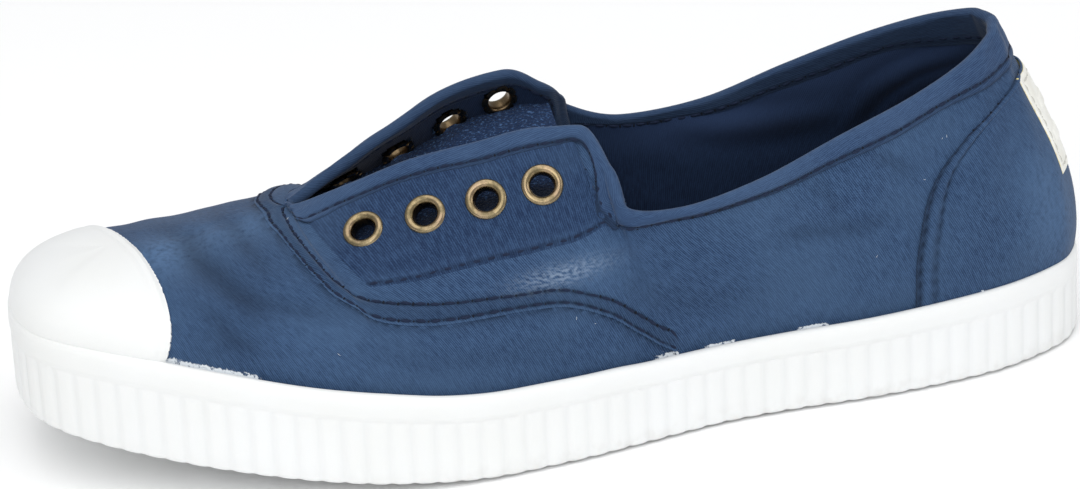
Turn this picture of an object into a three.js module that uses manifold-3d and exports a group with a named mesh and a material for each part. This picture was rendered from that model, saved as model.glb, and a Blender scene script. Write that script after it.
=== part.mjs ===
// A laceless canvas sneaker, left shoe, built as an assembly of separate closed solids.
// Millimetres. Toe at -Y, heel at +Y, lateral (outer) side at +X, floor at Z = 0.
import * as THREE from "three";
import { mergeVertices } from "three/addons/utils/BufferGeometryUtils.js";
import Module from "manifold-3d";

// ---- Driving dimensions ----
const LENGTH = 258;
const BALL_WIDTH = 94.4; // lateral and medial half widths together, at the ball of the foot
const INSTEP_HEIGHT = 73; // floor to the upper corner of the eyelet stays
const HEEL_HEIGHT = 79.5; // floor to the collar at the back seam
const TOE_SPRING = 14.5; // lift of the toe tip off the floor
const SPRING_START = 0.43; // share of the length where the sole starts to lift
const SPRING_POWER = 1.7;
const GAP = 0.3; // clearance between neighbouring pieces

const WALL = 1.8; // two plies of canvas and a lining
const FOXING_THICKNESS = 3;
const FOXING_HEIGHT = 22; // at the ball; the table scales it along the shoe
const SOLE_FOREFOOT = 7;
const SOLE_HEEL = 11.5;
const ARCH_RECESS = 1.6;
const INSOLE_THICKNESS = 3.6;
const CAP_THICKNESS = 1.5;
const PATCH_THICKNESS = 0.9;
const PATCH_WIDTH = 22;
const PATCH_LOW = 0.52; // shares of the heel height
const PATCH_HIGH = 0.84;
const PATCH_ROWS = 4; // rows either side of the back seam that it may take
const GUSSET_THICKNESS = 1.6;
const EYELET_HOLE = 5.4;
const EYELET_BARREL = 6.4;
const EYELET_RIM = 9;
const EYELET_CLENCH = 8.6;
const EYELET_SAG = 0.45; // how far the wall curves away under the flat flange
const EYELET_SEAT = 0.4; // the rim above the wall
const EYELET_SIDES = 12;
const RIM_HEIGHT = 0.9;
const CLENCH_HEIGHT = 0.6;
const CAP_ROWS = 6; // rows either side of the toe tip that the cap may take
const CAP_MIDDLE = 31; // where the cap ends on the ridge, from the toe tip
const CAP_SKEW = 0.15; // further back on the lateral side, per millimetre off the middle
const CAP_BOW = -14; // further back at the ball's width off the middle, on both sides
const CAP_STEPS = 12;
const ARCH_FROM = 0.5; // shares of the length
const ARCH_TO = 0.72;
const ARCH_FADE = 0.06;
const GROOVE_WIDTH = 2.4;
const GROOVE_DEPTH = 1.6;
const GROOVE_MARGIN = 9;
const GROOVES = [
  { from: 0.09, to: 0.48, count: 10 },
  { from: 0.74, to: 0.95, count: 6 },
];
const GUSSET_FROM = 8.7; // rows of the section table
const GUSSET_TO = 13.1;
const GUSSET_STEPS = 8;
const GUSSET_LATERAL = 0.66; // how far up the lines the web is sewn
const GUSSET_MEDIAL = 0.69;
const GUSSET_CROWN = 1.5;
const GUSSET_ACROSS = 8;

// ---- Sections, a row each, from the toe tip (row 0) to the heel back (last row) ----
// along, lateral, medial: where the sole's outline is; top...: where the section's line ends
// (on the ridge up to the throat, then along the stay, its corner and the collar).
// lean: slope of the line at its top, 90 lies flat and 0 stands upright.
// medialDrop: how much lower the medial side ends. belly: outward lean where the line leaves the
// sidewall. round: handle lengths as a share of the span. wall: height of the sidewall.
// Lengths along are percent of LENGTH and widths of BALL_WIDTH. Heights are percent of INSTEP_HEIGHT up
// to the corner and of HEEL_HEIGHT after it, and wall is percent of FOXING_HEIGHT.
const CORNER = 13; // the stay's upper corner, and the last row measured by the instep's height
const SECTIONS = [
  // along, lateral, medial, topAlong, topLateral, topMedial, topHeight, medialDrop, lean, belly, round, wall
  [0, -1.1, 1.1, 9.4, 0, 0, 63.3, 0, 90, 0, 0.6, 99],
  [0.9, 13.9, 17.8, 9.7, 0, 0, 63.4, 0, 90, 0, 0.6, 100],
  [3.3, 23.9, 28.3, 10.6, 0, 0, 63.9, 0, 90, 0, 0.61, 104],
  [7.4, 31.9, 35.1, 12.5, 0, 0, 64.6, 0, 90, 0, 0.61, 109],
  [12.8, 39.1, 40.2, 14.9, 0, 0, 65.1, 0, 90, 0, 0.61, 112],
  [18.6, 45.1, 44.3, 18.2, 0, 0, 66.3, 0, 90, 0, 0.59, 110],
  [24.8, 50.1, 47, 22.1, 0, 0, 68.8, 0, 90, 0, 0.59, 106],
  [30.6, 53, 47.7, 25.7, 0, 0, 71.9, 0, 90, 0, 0.58, 103],
  [32.6, 53.3, 47.4, 26.6, 1.7, 1.7, 73, 0, 84, 0, 0.56, 101],
  [36, 53.7, 46.3, 31.2, 8.6, 8.2, 81.5, 1.3, 62, 0, 0.48, 98],
  [40.3, 53, 44, 36.4, 13.6, 13.2, 89.8, 1.4, 50, 0, 0.45, 96],
  [45, 50.7, 40.8, 42, 18.8, 18.6, 95.6, -0.6, 42, 0, 0.43, 95],
  [49.2, 48.3, 37.4, 47.4, 22.3, 22.3, 99.8, 1.2, 32, 0, 0.42, 94],
  [52.3, 45.9, 35.5, 50.9, 24.2, 24.4, 99.8, 7.5, 25, 2, 0.4, 93],
  [55, 43.8, 34.3, 52.7, 30.1, 30.6, 81.9, 3.8, 17, 3, 0.38, 91],
  [58.1, 41.3, 33.1, 54.1, 35.6, 35.5, 70.2, -2, 9, 4, 0.36, 90],
  [62.8, 38, 32.1, 59.1, 34.5, 34, 67.5, 0, 5, 4, 0.36, 89],
  [69, 36.1, 31.8, 66.7, 30.5, 30.4, 71.3, 0, 6, 4, 0.36, 90],
  [76, 35.2, 32.4, 74.4, 27.4, 27.7, 80.4, 0, 10, 5, 0.36, 92],
  [82.9, 32.8, 32.6, 81.4, 24.5, 24.3, 88.5, 0, 14, 7, 0.36, 95],
  [89.5, 28.5, 30.3, 86.8, 18.4, 18.4, 94.7, 0, 18, 9, 0.36, 97],
  [95.3, 20.3, 22.3, 90.2, 10.1, 10.2, 98.9, 0, 20, 12, 0.35, 97],
  [98.3, 12.4, 12.7, 91, 5, 5.3, 99.9, 0, 21, 12, 0.33, 97],
  [100, 0, 0, 91.4, 0, 0, 100.1, 0, 22, 12, 0.32, 97],
].map(([along, lateral, medial, topAlong, topLateral, topMedial, topHeight, medialDrop, ...rest], i) => {
  const height = i > CORNER ? HEEL_HEIGHT : INSTEP_HEIGHT;
  const [lean, belly, round, wall] = rest;
  return {
    along: (along * LENGTH) / 100,
    lateral: (lateral * BALL_WIDTH) / 100,
    medial: (medial * BALL_WIDTH) / 100,
    topAlong: (topAlong * LENGTH) / 100,
    topLateral: (topLateral * BALL_WIDTH) / 100,
    topMedial: (topMedial * BALL_WIDTH) / 100,
    lateralHeight: (topHeight * height) / 100,
    medialHeight: ((topHeight - medialDrop) * height) / 100,
    lean,
    belly,
    round,
    wall: (wall * FOXING_HEIGHT) / 100,
  };
});
const LAST = SECTIONS.length - 1;
const THROAT = 7; // the last row whose line ends on the ridge
const LOOP = 2 * LAST; // once round the shoe: lateral rows out, medial rows back

// The whole shoe is one closed loop of rows, so that the toe and the heel come out smooth.
function rowAt(index) {
  const i = ((index % LOOP) + LOOP) % LOOP;
  const side = i <= LAST ? 1 : -1;
  const row = SECTIONS[side > 0 ? i : LOOP - i];
  return {
    x: side > 0 ? row.lateral : -row.medial,
    along: row.along,
    topX: side > 0 ? row.topLateral : -row.topMedial,
    topAlong: row.topAlong,
    topHeight: side > 0 ? row.lateralHeight : row.medialHeight,
    lean: row.lean,
    belly: row.belly,
    round: row.round,
    wall: row.wall,
  };
}

// A cubic through the rows that never swings past them.
function blend(name, w) {
  const i = Math.floor(w);
  const f = w - i;
  const [a, b, c, d] = [-1, 0, 1, 2].map((k) => rowAt(i + k)[name]);
  const slope = (before, after) =>
    before * after <= 0
      ? 0
      : Math.sign(before) *
        Math.min(Math.abs(before + after) / 2, 3 * Math.abs(before), 3 * Math.abs(after));
  const m0 = slope(b - a, c - b);
  const m1 = slope(c - b, d - c);
  const f2 = f * f;
  const f3 = f2 * f;
  return (
    (2 * f3 - 3 * f2 + 1) * b + (f3 - 2 * f2 + f) * m0 + (3 * f2 - 2 * f3) * c + (f3 - f2) * m1
  );
}

const yOf = (along) => along - LENGTH / 2;
const smooth = (t) => t * t * (3 - 2 * t);
const clamp01 = (t) => Math.min(1, Math.max(0, t));

// Lift of the sole's underside above the floor.
function springAt(along) {
  const start = SPRING_START * LENGTH;
  return TOE_SPRING * Math.pow(Math.max(0, start - along) / start, SPRING_POWER);
}

function soleTop(along) {
  const heelward = smooth(clamp01((along / LENGTH - 0.45) / 0.35));
  return springAt(along) + SOLE_FOREFOOT + (SOLE_HEEL - SOLE_FOREFOOT) * heelward;
}

// The outline in plan, moved inwards by inset; w runs once round the loop.
function outlineNormal(w) {
  const step = 0.02;
  const tangent = new THREE.Vector2(
    blend("x", w + step) - blend("x", w - step),
    blend("along", w + step) - blend("along", w - step),
  ).normalize();
  return new THREE.Vector2(tangent.y, -tangent.x);
}

function outline(w, inset = 0) {
  const n = outlineNormal(w);
  return new THREE.Vector2(blend("x", w) - inset * n.x, blend("along", w) - inset * n.y);
}

// One line of the upper's outer face: straight up behind the sidewall, then a cubic to the top.
const UPPER_INSET = FOXING_THICKNESS + GAP;
const RISER = 0.14; // share of v that the straight stretch takes
// The row of the table that a place on the loop belongs to, whichever side it is on.
function rowOf(w) {
  const round = THREE.MathUtils.euclideanModulo(w, LOOP);
  return Math.min(round, LOOP - round);
}

function ridgeSlope(w) {
  const step = 0.25;
  const at = THREE.MathUtils.clamp(rowOf(w), 1 + step, THROAT - step);
  const rise = blend("topHeight", at + step) - blend("topHeight", at - step);
  const run = blend("topAlong", at + step) - blend("topAlong", at - step);
  return rise / run;
}

function handles(w) {
  const foot = outline(w, UPPER_INSET);
  const n = outlineNormal(w);
  const low = new THREE.Vector3(foot.x, foot.y, soleTop(foot.y) + GAP);
  const start = new THREE.Vector3(foot.x, foot.y, springAt(foot.y) + blend("wall", w));
  const end = new THREE.Vector3(blend("topX", w), blend("topAlong", w), blend("topHeight", w));
  const belly = THREE.MathUtils.degToRad(blend("belly", w));
  const lean = THREE.MathUtils.degToRad(blend("lean", w));
  const flat = Math.sin(lean);
  const rise = blend("round", w) * (end.z - start.z);
  const run = blend("round", w) * Math.hypot(end.x - start.x, end.y - start.y);
  const reach = flat * run + (1 - flat) * rise;
  const out = new THREE.Vector3(n.x, n.y, 0);
  const up = new THREE.Vector3(0, 0, 1);
  const first = start
    .clone()
    .addScaledVector(out, Math.sin(belly) * rise)
    .addScaledVector(up, Math.cos(belly) * rise);
  const last = end
    .clone()
    .addScaledVector(out, flat * reach)
    .addScaledVector(up, (ridgeSlope(w) * n.y * flat * flat - Math.cos(lean)) * reach);
  return { low, start, first, last, end };
}

function outer(w, v) {
  const { low, start, first, last, end } = handles(w);
  if (v < RISER) return low.lerp(start, v / RISER);
  const t = (v - RISER) / (1 - RISER);
  return new THREE.CubicBezierCurve3(start, first, last, end).getPoint(t);
}

const onRidge = (w) => rowOf(w) <= THROAT;

function normalAt(w, v) {
  if (onRidge(w) && v > 0.999) {
    return new THREE.Vector3(0, -ridgeSlope(w), 1).normalize();
  }
  const step = 0.01;
  const along = outer(w + step, v).sub(outer(w - step, v));
  const low = Math.max(0, v - step);
  const high = Math.min(1, v + step);
  const up = outer(w, high).sub(outer(w, low));
  return along.cross(up).normalize();
}

// A point of the upper's surface moved outwards by offset, in the shoe's frame.
function skin(w, v, offset) {
  const p = outer(w, v).addScaledVector(normalAt(w, v), offset);
  return new THREE.Vector3(p.x, yOf(p.y), p.z);
}

// ---- Meshes ----
function meshFrom(points, triangles) {
  const g = new THREE.BufferGeometry();
  g.setAttribute("position", new THREE.Float32BufferAttribute(points.flatMap((p) => p.toArray()), 3));
  g.setIndex(triangles);
  const merged = mergeVertices(g, 1e-3);
  const index = merged.index.array;
  const kept = [];
  for (let i = 0; i < index.length; i += 3) {
    const [a, b, c] = index.slice(i, i + 3);
    if (a !== b && b !== c && c !== a) kept.push(a, b, c);
  }
  return merged.setIndex(kept);
}

const wasm = await Module();
wasm.setup();

function solidOf(geometry) {
  const bare = geometry.clone();
  bare.deleteAttribute("normal");
  bare.deleteAttribute("uv");
  const merged = mergeVertices(bare, 1e-3);
  return new wasm.Manifold(
    new wasm.Mesh({
      numProp: 3,
      vertProperties: merged.attributes.position.array,
      triVerts: new Uint32Array(merged.index.array),
    }),
  );
}

function geometryOf(solid) {
  const { numProp, vertProperties, triVerts } = solid.getMesh();
  const positions = [];
  for (let i = 0; i < vertProperties.length; i += numProp) {
    positions.push(vertProperties[i], vertProperties[i + 1], vertProperties[i + 2]);
  }
  const g = new THREE.BufferGeometry();
  g.setAttribute("position", new THREE.Float32BufferAttribute(positions, 3));
  g.setIndex(new THREE.BufferAttribute(triVerts, 1));
  return g;
}

// Joins rows of points into quads. Faces look towards the left of travel when rows go up.
function weave(rows, closed = false) {
  const points = rows.flat();
  const width = rows[0].length;
  const triangles = [];
  const count = closed ? rows.length : rows.length - 1;
  for (let i = 0; i < count; i++) {
    const j = (i + 1) % rows.length;
    for (let k = 0; k < width - 1; k++) {
      const a = i * width + k;
      const b = j * width + k;
      triangles.push(a, b, b + 1, a, b + 1, a + 1);
    }
  }
  return { points, triangles };
}

function joined(parts) {
  const points = [];
  const triangles = [];
  for (const part of parts) {
    const base = points.length;
    points.push(...part.points);
    triangles.push(...part.triangles.map((i) => i + base));
  }
  return meshFrom(points, triangles);
}

const reversed = (rows) => rows.map((row) => [...row].reverse());
const range = (count) => Array.from({ length: count }, (_, i) => i);

// The hollow upper: outer face, inner face, and the rims at the foot and round the opening.
const PER_ROW = 2; // stations between two rows
const UP_STEPS = 11;
function upperSolid() {
  const stations = range(LOOP * PER_ROW).map((i) => i / PER_ROW);
  const heights = [0, ...range(UP_STEPS).map((i) => RISER + ((1 - RISER) * i) / (UP_STEPS - 1))];
  const outside = stations.map((w) => heights.map((v) => skin(w, v, 0)));
  const inside = stations.map((w) => heights.map((v) => skin(w, v, -WALL)));
  const foot = stations.map((_, i) => [inside[i][0], outside[i][0]]);
  const top = [];
  const open = stations.filter((w) => !onRidge(w) || w === THROAT || w === LOOP - THROAT);
  for (const w of open) {
    const i = w * PER_ROW;
    top.push([outside[i].at(-1), inside[i].at(-1)]);
  }
  const shell = solidOf(
    joined([weave(outside, true), weave(reversed(inside), true), weave(foot, true), weave(top)]),
  );
  return eyeletPlaces()
    .map(({ at, axis }) => {
      const hole = EYELET_BARREL / 2 + GAP;
      const drill = new THREE.CylinderGeometry(hole, hole, 5 * WALL, EYELET_SIDES);
      drill.applyQuaternion(new THREE.Quaternion().setFromUnitVectors(new THREE.Vector3(0, 1, 0), axis));
      drill.translate(at.x, at.y, at.z);
      return solidOf(drill);
    })
    .reduce((body, hole) => body.subtract(hole), shell);
}

// ---- Eyelets ----
const EYELETS = [
  // row along the stay, share of the line's height on the lateral and on the medial side
  [8.95, 0.8, 0.82],
  [9.93, 0.77, 0.79],
  [10.88, 0.76, 0.79],
  [11.82, 0.765, 0.84],
].map(([row, lateral, medial]) => ({ row, lateral, medial }));

function eyeletPlaces() {
  return [1, -1].flatMap((side) =>
    EYELETS.map(({ row, lateral, medial }, i) => {
      const w = side > 0 ? row : LOOP - row;
      const height = side > 0 ? lateral : medial;
      return {
        name: `eyelet_${side > 0 ? "lateral" : "medial"}_${i + 1}`,
        at: skin(w, height, 0),
        axis: normalAt(w, height),
      };
    }),
  );
}

function eyeletGeometry() {
  const hole = EYELET_HOLE / 2;
  const barrel = EYELET_BARREL / 2;
  const under = -WALL - GAP - EYELET_SAG;
  const profile = [
    [hole, under - CLENCH_HEIGHT],
    [EYELET_CLENCH / 2, under - CLENCH_HEIGHT * 0.6],
    [EYELET_CLENCH / 2, under],
    [barrel, under],
    [barrel, EYELET_SEAT],
    [EYELET_RIM / 2, EYELET_SEAT],
    [EYELET_RIM / 2 - 0.3, EYELET_SEAT + RIM_HEIGHT * 0.65],
    [(EYELET_RIM / 2 + hole) / 2, EYELET_SEAT + RIM_HEIGHT * 0.9],
    [hole, EYELET_SEAT + RIM_HEIGHT * 0.3],
    [hole, under - CLENCH_HEIGHT],
  ].map(([r, z]) => new THREE.Vector2(r, z));
  return new THREE.LatheGeometry(profile, EYELET_SIDES);
}

// ---- Sole pieces ----
// A slab between two grids of points that run heelwards, each row from lateral to medial.
function slab(top, bottom) {
  const side = (k) => top.map((row, i) => [bottom[i].at(k), row.at(k)]);
  const end = (i) => top.at(i).map((p, k) => [bottom.at(i)[k], p]);
  return joined([
    weave(top),
    weave(reversed(bottom)),
    weave(side(0)),
    weave(reversed(side(-1))),
    weave(reversed(end(0))),
    weave(end(-1)),
  ]);
}

function plate(inset, bottom, top, across) {
  const rows = range(LAST * PER_ROW + 1).map((i) => {
    const w = i / PER_ROW;
    const lateral = outline(w, inset);
    const medial = outline(LOOP - w, inset);
    return range(across + 1).map((k) => lateral.clone().lerp(medial, k / across));
  });
  const lay = (level) => rows.map((row) => row.map((p) => new THREE.Vector3(p.x, yOf(p.y), level(p.y))));
  return slab(lay(top), lay(bottom));
}

function treadBottom(along) {
  const share = along / LENGTH;
  const front = smooth(clamp01((share - ARCH_FROM) / ARCH_FADE));
  const back = smooth(clamp01((ARCH_TO - share) / ARCH_FADE));
  return springAt(along) + ARCH_RECESS * front * back;
}

// The outline's lateral and medial edge at one place along the shoe.
function edgesAt(along) {
  return [1, -1].map((side) => {
    let low = 0;
    let high = LAST;
    while (high - low > 1e-4) {
      const middle = (low + high) / 2;
      if (blend("along", middle) < along) low = middle;
      else high = middle;
    }
    return blend("x", side > 0 ? low : LOOP - low);
  });
}

function outsoleSolid() {
  let body = solidOf(plate(UPPER_INSET, treadBottom, soleTop, 3));
  for (const { from, to, count } of GROOVES) {
    for (const i of range(count)) {
      const along = LENGTH * (from + ((to - from) * i) / (count - 1));
      const [lateral, medial] = edgesAt(along);
      const slope = (springAt(along + 1) - springAt(along - 1)) / 2;
      const groove = new THREE.BoxGeometry(lateral - medial - 2 * GROOVE_MARGIN, GROOVE_WIDTH, 2 * GROOVE_DEPTH);
      groove.rotateX(Math.atan(slope));
      groove.translate((lateral + medial) / 2, yOf(along), springAt(along));
      body = body.subtract(solidOf(groove));
    }
  }
  return body;
}

// The sidewall's section: how far out from its inner face, and how high as a share of the wall.
const FOXING_SECTION = [
  [FOXING_THICKNESS - 0.5, 0.035],
  [FOXING_THICKNESS - 0.1, 0.09],
  [FOXING_THICKNESS - 0.1, 0.72],
  [FOXING_THICKNESS + 0.2, 0.77],
  [FOXING_THICKNESS, 0.94],
  [FOXING_THICKNESS / 2, 1],
  [0, 0.965],
  [0, 0.035],
].map(([out, up]) => ({ out, up }));

function foxing() {
  const rows = range(LOOP * PER_ROW).map((i) => {
    const w = i / PER_ROW;
    const wall = blend("wall", w);
    const ring = FOXING_SECTION.map(({ out, up }) => {
      const p = outline(w, FOXING_THICKNESS - out);
      return new THREE.Vector3(p.x, yOf(p.y), springAt(p.y) + up * wall);
    });
    return [...ring, ring[0]];
  });
  return joined([weave(rows, true)]);
}

// ---- Pieces cut between two larger forms of the upper ----
// The upper's surface from centre - reach to centre + reach, moved out by offset and closed.
function form(centre, reach, offset) {
  const heights = [0, ...range(UP_STEPS).map((i) => RISER + ((1 - RISER) * i) / (UP_STEPS - 1))];
  const line = (w) => heights.map((v) => skin(w, v, offset));
  const steps = reach * PER_ROW;
  const lines = range(2 * steps + 1).map((i) => line(centre + (i - steps) / PER_ROW));
  const pairs = (k) => range(steps + 1).map((i) => [lines[steps + i].at(k), lines[steps - i].at(k)]);
  const wall = heights.map((_, k) => [lines.at(-1)[k], lines[0][k]]);
  return solidOf(
    joined([weave(lines), weave(reversed(wall)), weave(pairs(-1)), weave(reversed(pairs(0)))]),
  );
}

// A prism over an outline in the plane of two axes, long enough to pass through the shoe.
function prism(outlinePoints, basis) {
  const shape = new THREE.Shape(outlinePoints.map(([x, y]) => new THREE.Vector2(x, y)));
  const g = new THREE.ExtrudeGeometry(shape, { depth: 2 * LENGTH, bevelEnabled: false });
  g.translate(0, 0, -LENGTH);
  return solidOf(g.applyMatrix4(basis));
}
const FROM_ABOVE = new THREE.Matrix4();
const FROM_SIDE = new THREE.Matrix4().makeBasis(
  new THREE.Vector3(0, 1, 0),
  new THREE.Vector3(0, 0, 1),
  new THREE.Vector3(1, 0, 0),
);
const FROM_BACK = new THREE.Matrix4().makeBasis(
  new THREE.Vector3(1, 0, 0),
  new THREE.Vector3(0, 0, 1),
  new THREE.Vector3(0, -1, 0),
);

function toeCapSolid() {
  const shell = form(0, CAP_ROWS, GAP + CAP_THICKNESS).subtract(form(0, CAP_ROWS, GAP));
  const far = BALL_WIDTH;
  const rear = range(CAP_STEPS + 1).map((i) => {
    const x = far * (1 - (2 * i) / CAP_STEPS);
    return [x, yOf(CAP_MIDDLE + CAP_SKEW * x + CAP_BOW * (x / far) ** 2)];
  });
  const plan = prism([[-far, -LENGTH], [far, -LENGTH], ...rear], FROM_ABOVE);
  const front = -CAP_MIDDLE;
  const sill = range(CAP_ROWS * PER_ROW + 1).map((i) => {
    const w = i / PER_ROW;
    const along = outline(w, FOXING_THICKNESS / 2).y;
    return [yOf(along), springAt(along) + blend("wall", w) + GAP];
  });
  const back = sill.at(-1)[0];
  const side = prism(
    [[yOf(front), sill[0][1]], ...sill, [back, LENGTH], [yOf(front), LENGTH]],
    FROM_SIDE,
  );
  return shell.intersect(plan).intersect(side);
}

function heelPatchSolid() {
  const shell = form(LAST, PATCH_ROWS, GAP + PATCH_THICKNESS).subtract(form(LAST, PATCH_ROWS, GAP));
  const half = PATCH_WIDTH / 2;
  const [low, high] = [PATCH_LOW * HEEL_HEIGHT, PATCH_HIGH * HEEL_HEIGHT];
  const window = prism([[-half, low], [half, low], [half, high], [-half, high]], FROM_BACK);
  return shell.intersect(window);
}

// ---- Elastic web between the stays, under the eyelets ----
function gusset() {
  const stations = range(GUSSET_STEPS + 1).map((i) => GUSSET_FROM + ((GUSSET_TO - GUSSET_FROM) * i) / GUSSET_STEPS);
  const clear = -(WALL + GAP);
  const top = stations.map((row) => {
    const lateral = skin(row, GUSSET_LATERAL, clear);
    const medial = skin(LOOP - row, GUSSET_MEDIAL, clear);
    const third = (lateral.x - medial.x) / 3;
    const curve = new THREE.CubicBezierCurve3(
      lateral,
      lateral.clone().add(new THREE.Vector3(-third, 0, GUSSET_CROWN)),
      medial.clone().add(new THREE.Vector3(third, 0, GUSSET_CROWN)),
      medial,
    );
    return curve.getPoints(GUSSET_ACROSS);
  });
  const bottom = top.map((row) => row.map((p) => p.clone().setZ(p.z - GUSSET_THICKNESS)));
  return slab(top, bottom);
}

// ---- The shoe ----
const MATERIALS = {
  canvas: { color: 0x2c4468, roughness: 0.95, metalness: 0 },
  elastic: { color: 0x1c2c48, roughness: 1, metalness: 0 },
  rubber: { color: 0xf2f2f0, roughness: 0.6, metalness: 0 },
  brass: { color: 0x9a7a45, roughness: 0.35, metalness: 1 },
  lining: { color: 0x24344f, roughness: 0.95, metalness: 0 },
  patch: { color: 0xe9e6dc, roughness: 0.8, metalness: 0 },
};

const shoe = new THREE.Group();

function add(name, geometry, finish) {
  const mesh = new THREE.Mesh(geometry, new THREE.MeshStandardMaterial(MATERIALS[finish]));
  mesh.name = name;
  shoe.add(mesh);
  return mesh;
}

add("outsole", geometryOf(outsoleSolid()), "rubber");
add("foxing", foxing(), "rubber");
const bedTop = (along) => soleTop(along) + GAP + INSOLE_THICKNESS;
const bedFoot = (along) => soleTop(along) + GAP;
add("insole", plate(UPPER_INSET + WALL + 2 * GAP, bedFoot, bedTop, 3), "lining");
add("upper", geometryOf(upperSolid()), "canvas");
add("toe_cap", geometryOf(toeCapSolid()), "rubber");
add("heel_patch", geometryOf(heelPatchSolid()), "patch");
add("elastic_gusset", gusset(), "elastic");
for (const { name, at, axis } of eyeletPlaces()) {
  const eyelet = add(name, eyeletGeometry(), "brass");
  eyelet.position.copy(at);
  eyelet.quaternion.setFromUnitVectors(new THREE.Vector3(0, 1, 0), axis);
}

// The ball bulges further out than in, so the origin moves to the middle of the whole width.
const widest = (side) => Math.max(...SECTIONS.map((row) => row[side]));
shoe.position.x = (widest("medial") - widest("lateral")) / 2;

export default shoe;
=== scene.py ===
"""A laceless canvas sneaker, left shoe: washed navy canvas on white rubber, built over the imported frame.

The shoe's own frame: toe at -Y, heel at +Y, outer (lateral) side at +X, floor at Z = 0.
Sizes are millimetres until a mesh is made, where MM turns them into metres.
"""

import math

import bpy
import numpy as np
from mathutils import Matrix, Vector


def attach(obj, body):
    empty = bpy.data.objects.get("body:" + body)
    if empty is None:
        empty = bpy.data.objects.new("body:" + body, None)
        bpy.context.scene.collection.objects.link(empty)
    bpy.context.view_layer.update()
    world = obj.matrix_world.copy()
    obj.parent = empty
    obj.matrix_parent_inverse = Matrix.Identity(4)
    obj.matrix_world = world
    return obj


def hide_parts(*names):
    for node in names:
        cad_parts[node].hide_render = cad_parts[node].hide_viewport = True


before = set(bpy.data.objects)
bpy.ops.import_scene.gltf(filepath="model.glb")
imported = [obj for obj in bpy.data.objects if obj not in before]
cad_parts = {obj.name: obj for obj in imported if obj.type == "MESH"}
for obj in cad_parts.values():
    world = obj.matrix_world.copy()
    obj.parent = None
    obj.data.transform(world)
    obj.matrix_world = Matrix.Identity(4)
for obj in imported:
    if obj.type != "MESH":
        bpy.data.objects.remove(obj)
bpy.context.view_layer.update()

MM = 0.001

# ---- The shoe's driving sizes, as in the frame ----
LENGTH = 258.0
BALL_WIDTH = 94.4
INSTEP_HEIGHT = 73.0
HEEL_HEIGHT = 79.5
TOE_SPRING = 14.5
SPRING_START = 0.43
SPRING_POWER = 1.7
GAP = 0.3
WALL = 1.8
FOXING_THICKNESS = 3.0
FOXING_HEIGHT = 22.0
SOLE_FOREFOOT = 7.0
SOLE_HEEL = 11.5
INSOLE_THICKNESS = 3.6
UPPER_INSET = FOXING_THICKNESS + GAP
RISER = 0.14  # share of a section's line that stands straight behind the sidewall
THROAT = 7  # the last section whose line ends on the ridge
CORNER = 13  # the stay's upper corner

# Sections from the toe tip (first) to the back seam (last). Percent of LENGTH along and of BALL_WIDTH
# across; heights are percent of INSTEP_HEIGHT up to the corner and of HEEL_HEIGHT after it, and the
# wall's is percent of FOXING_HEIGHT. Drop is how much lower the medial side's top is; angles in degrees.
SECTIONS = [
    # along, lateral, medial, top_along, top_lateral, top_medial, top_height, drop, lean, belly, round, wall
    [0, -1.1, 1.1, 9.4, 0, 0, 63.3, 0, 90, 0, 0.6, 99],
    [0.9, 13.9, 17.8, 9.7, 0, 0, 63.4, 0, 90, 0, 0.6, 100],
    [3.3, 23.9, 28.3, 10.6, 0, 0, 63.9, 0, 90, 0, 0.61, 104],
    [7.4, 31.9, 35.1, 12.5, 0, 0, 64.6, 0, 90, 0, 0.61, 109],
    [12.8, 39.1, 40.2, 14.9, 0, 0, 65.1, 0, 90, 0, 0.61, 112],
    [18.6, 45.1, 44.3, 18.2, 0, 0, 66.3, 0, 90, 0, 0.59, 110],
    [24.8, 50.1, 47, 22.1, 0, 0, 68.8, 0, 90, 0, 0.59, 106],
    [30.6, 53, 47.7, 25.7, 0, 0, 71.9, 0, 90, 0, 0.58, 103],
    [32.6, 53.3, 47.4, 26.6, 1.7, 1.7, 73, 0, 84, 0, 0.56, 101],
    [36, 53.7, 46.3, 31.2, 8.6, 8.2, 81.5, 1.3, 62, 0, 0.48, 98],
    [40.3, 53, 44, 36.4, 13.6, 13.2, 89.8, 1.4, 50, 0, 0.45, 96],
    [45, 50.7, 40.8, 42, 18.8, 18.6, 95.6, -0.6, 42, 0, 0.43, 95],
    [49.2, 48.3, 37.4, 47.4, 22.3, 22.3, 99.8, 1.2, 32, 0, 0.42, 94],
    [52.3, 45.9, 35.5, 50.9, 24.2, 24.4, 99.8, 7.5, 25, 2, 0.4, 93],
    [55, 43.8, 34.3, 52.7, 30.1, 30.6, 81.9, 3.8, 17, 3, 0.38, 91],
    [58.1, 41.3, 33.1, 54.1, 35.6, 35.5, 70.2, -2, 9, 4, 0.36, 90],
    [62.8, 38, 32.1, 59.1, 34.5, 34, 67.5, 0, 5, 4, 0.36, 89],
    [69, 36.1, 31.8, 66.7, 30.5, 30.4, 71.3, 0, 6, 4, 0.36, 90],
    [76, 35.2, 32.4, 74.4, 27.4, 27.7, 80.4, 0, 10, 5, 0.36, 92],
    [82.9, 32.8, 32.6, 81.4, 24.5, 24.3, 88.5, 0, 14, 7, 0.36, 95],
    [89.5, 28.5, 30.3, 86.8, 18.4, 18.4, 94.7, 0, 18, 9, 0.36, 97],
    [95.3, 20.3, 22.3, 90.2, 10.1, 10.2, 98.9, 0, 20, 12, 0.35, 97],
    [98.3, 12.4, 12.7, 91, 5, 5.3, 99.9, 0, 21, 12, 0.33, 97],
    [100, 0, 0, 91.4, 0, 0, 100.1, 0, 22, 12, 0.32, 97],
]
LAST = len(SECTIONS) - 1
LOOP = 2 * LAST


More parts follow.
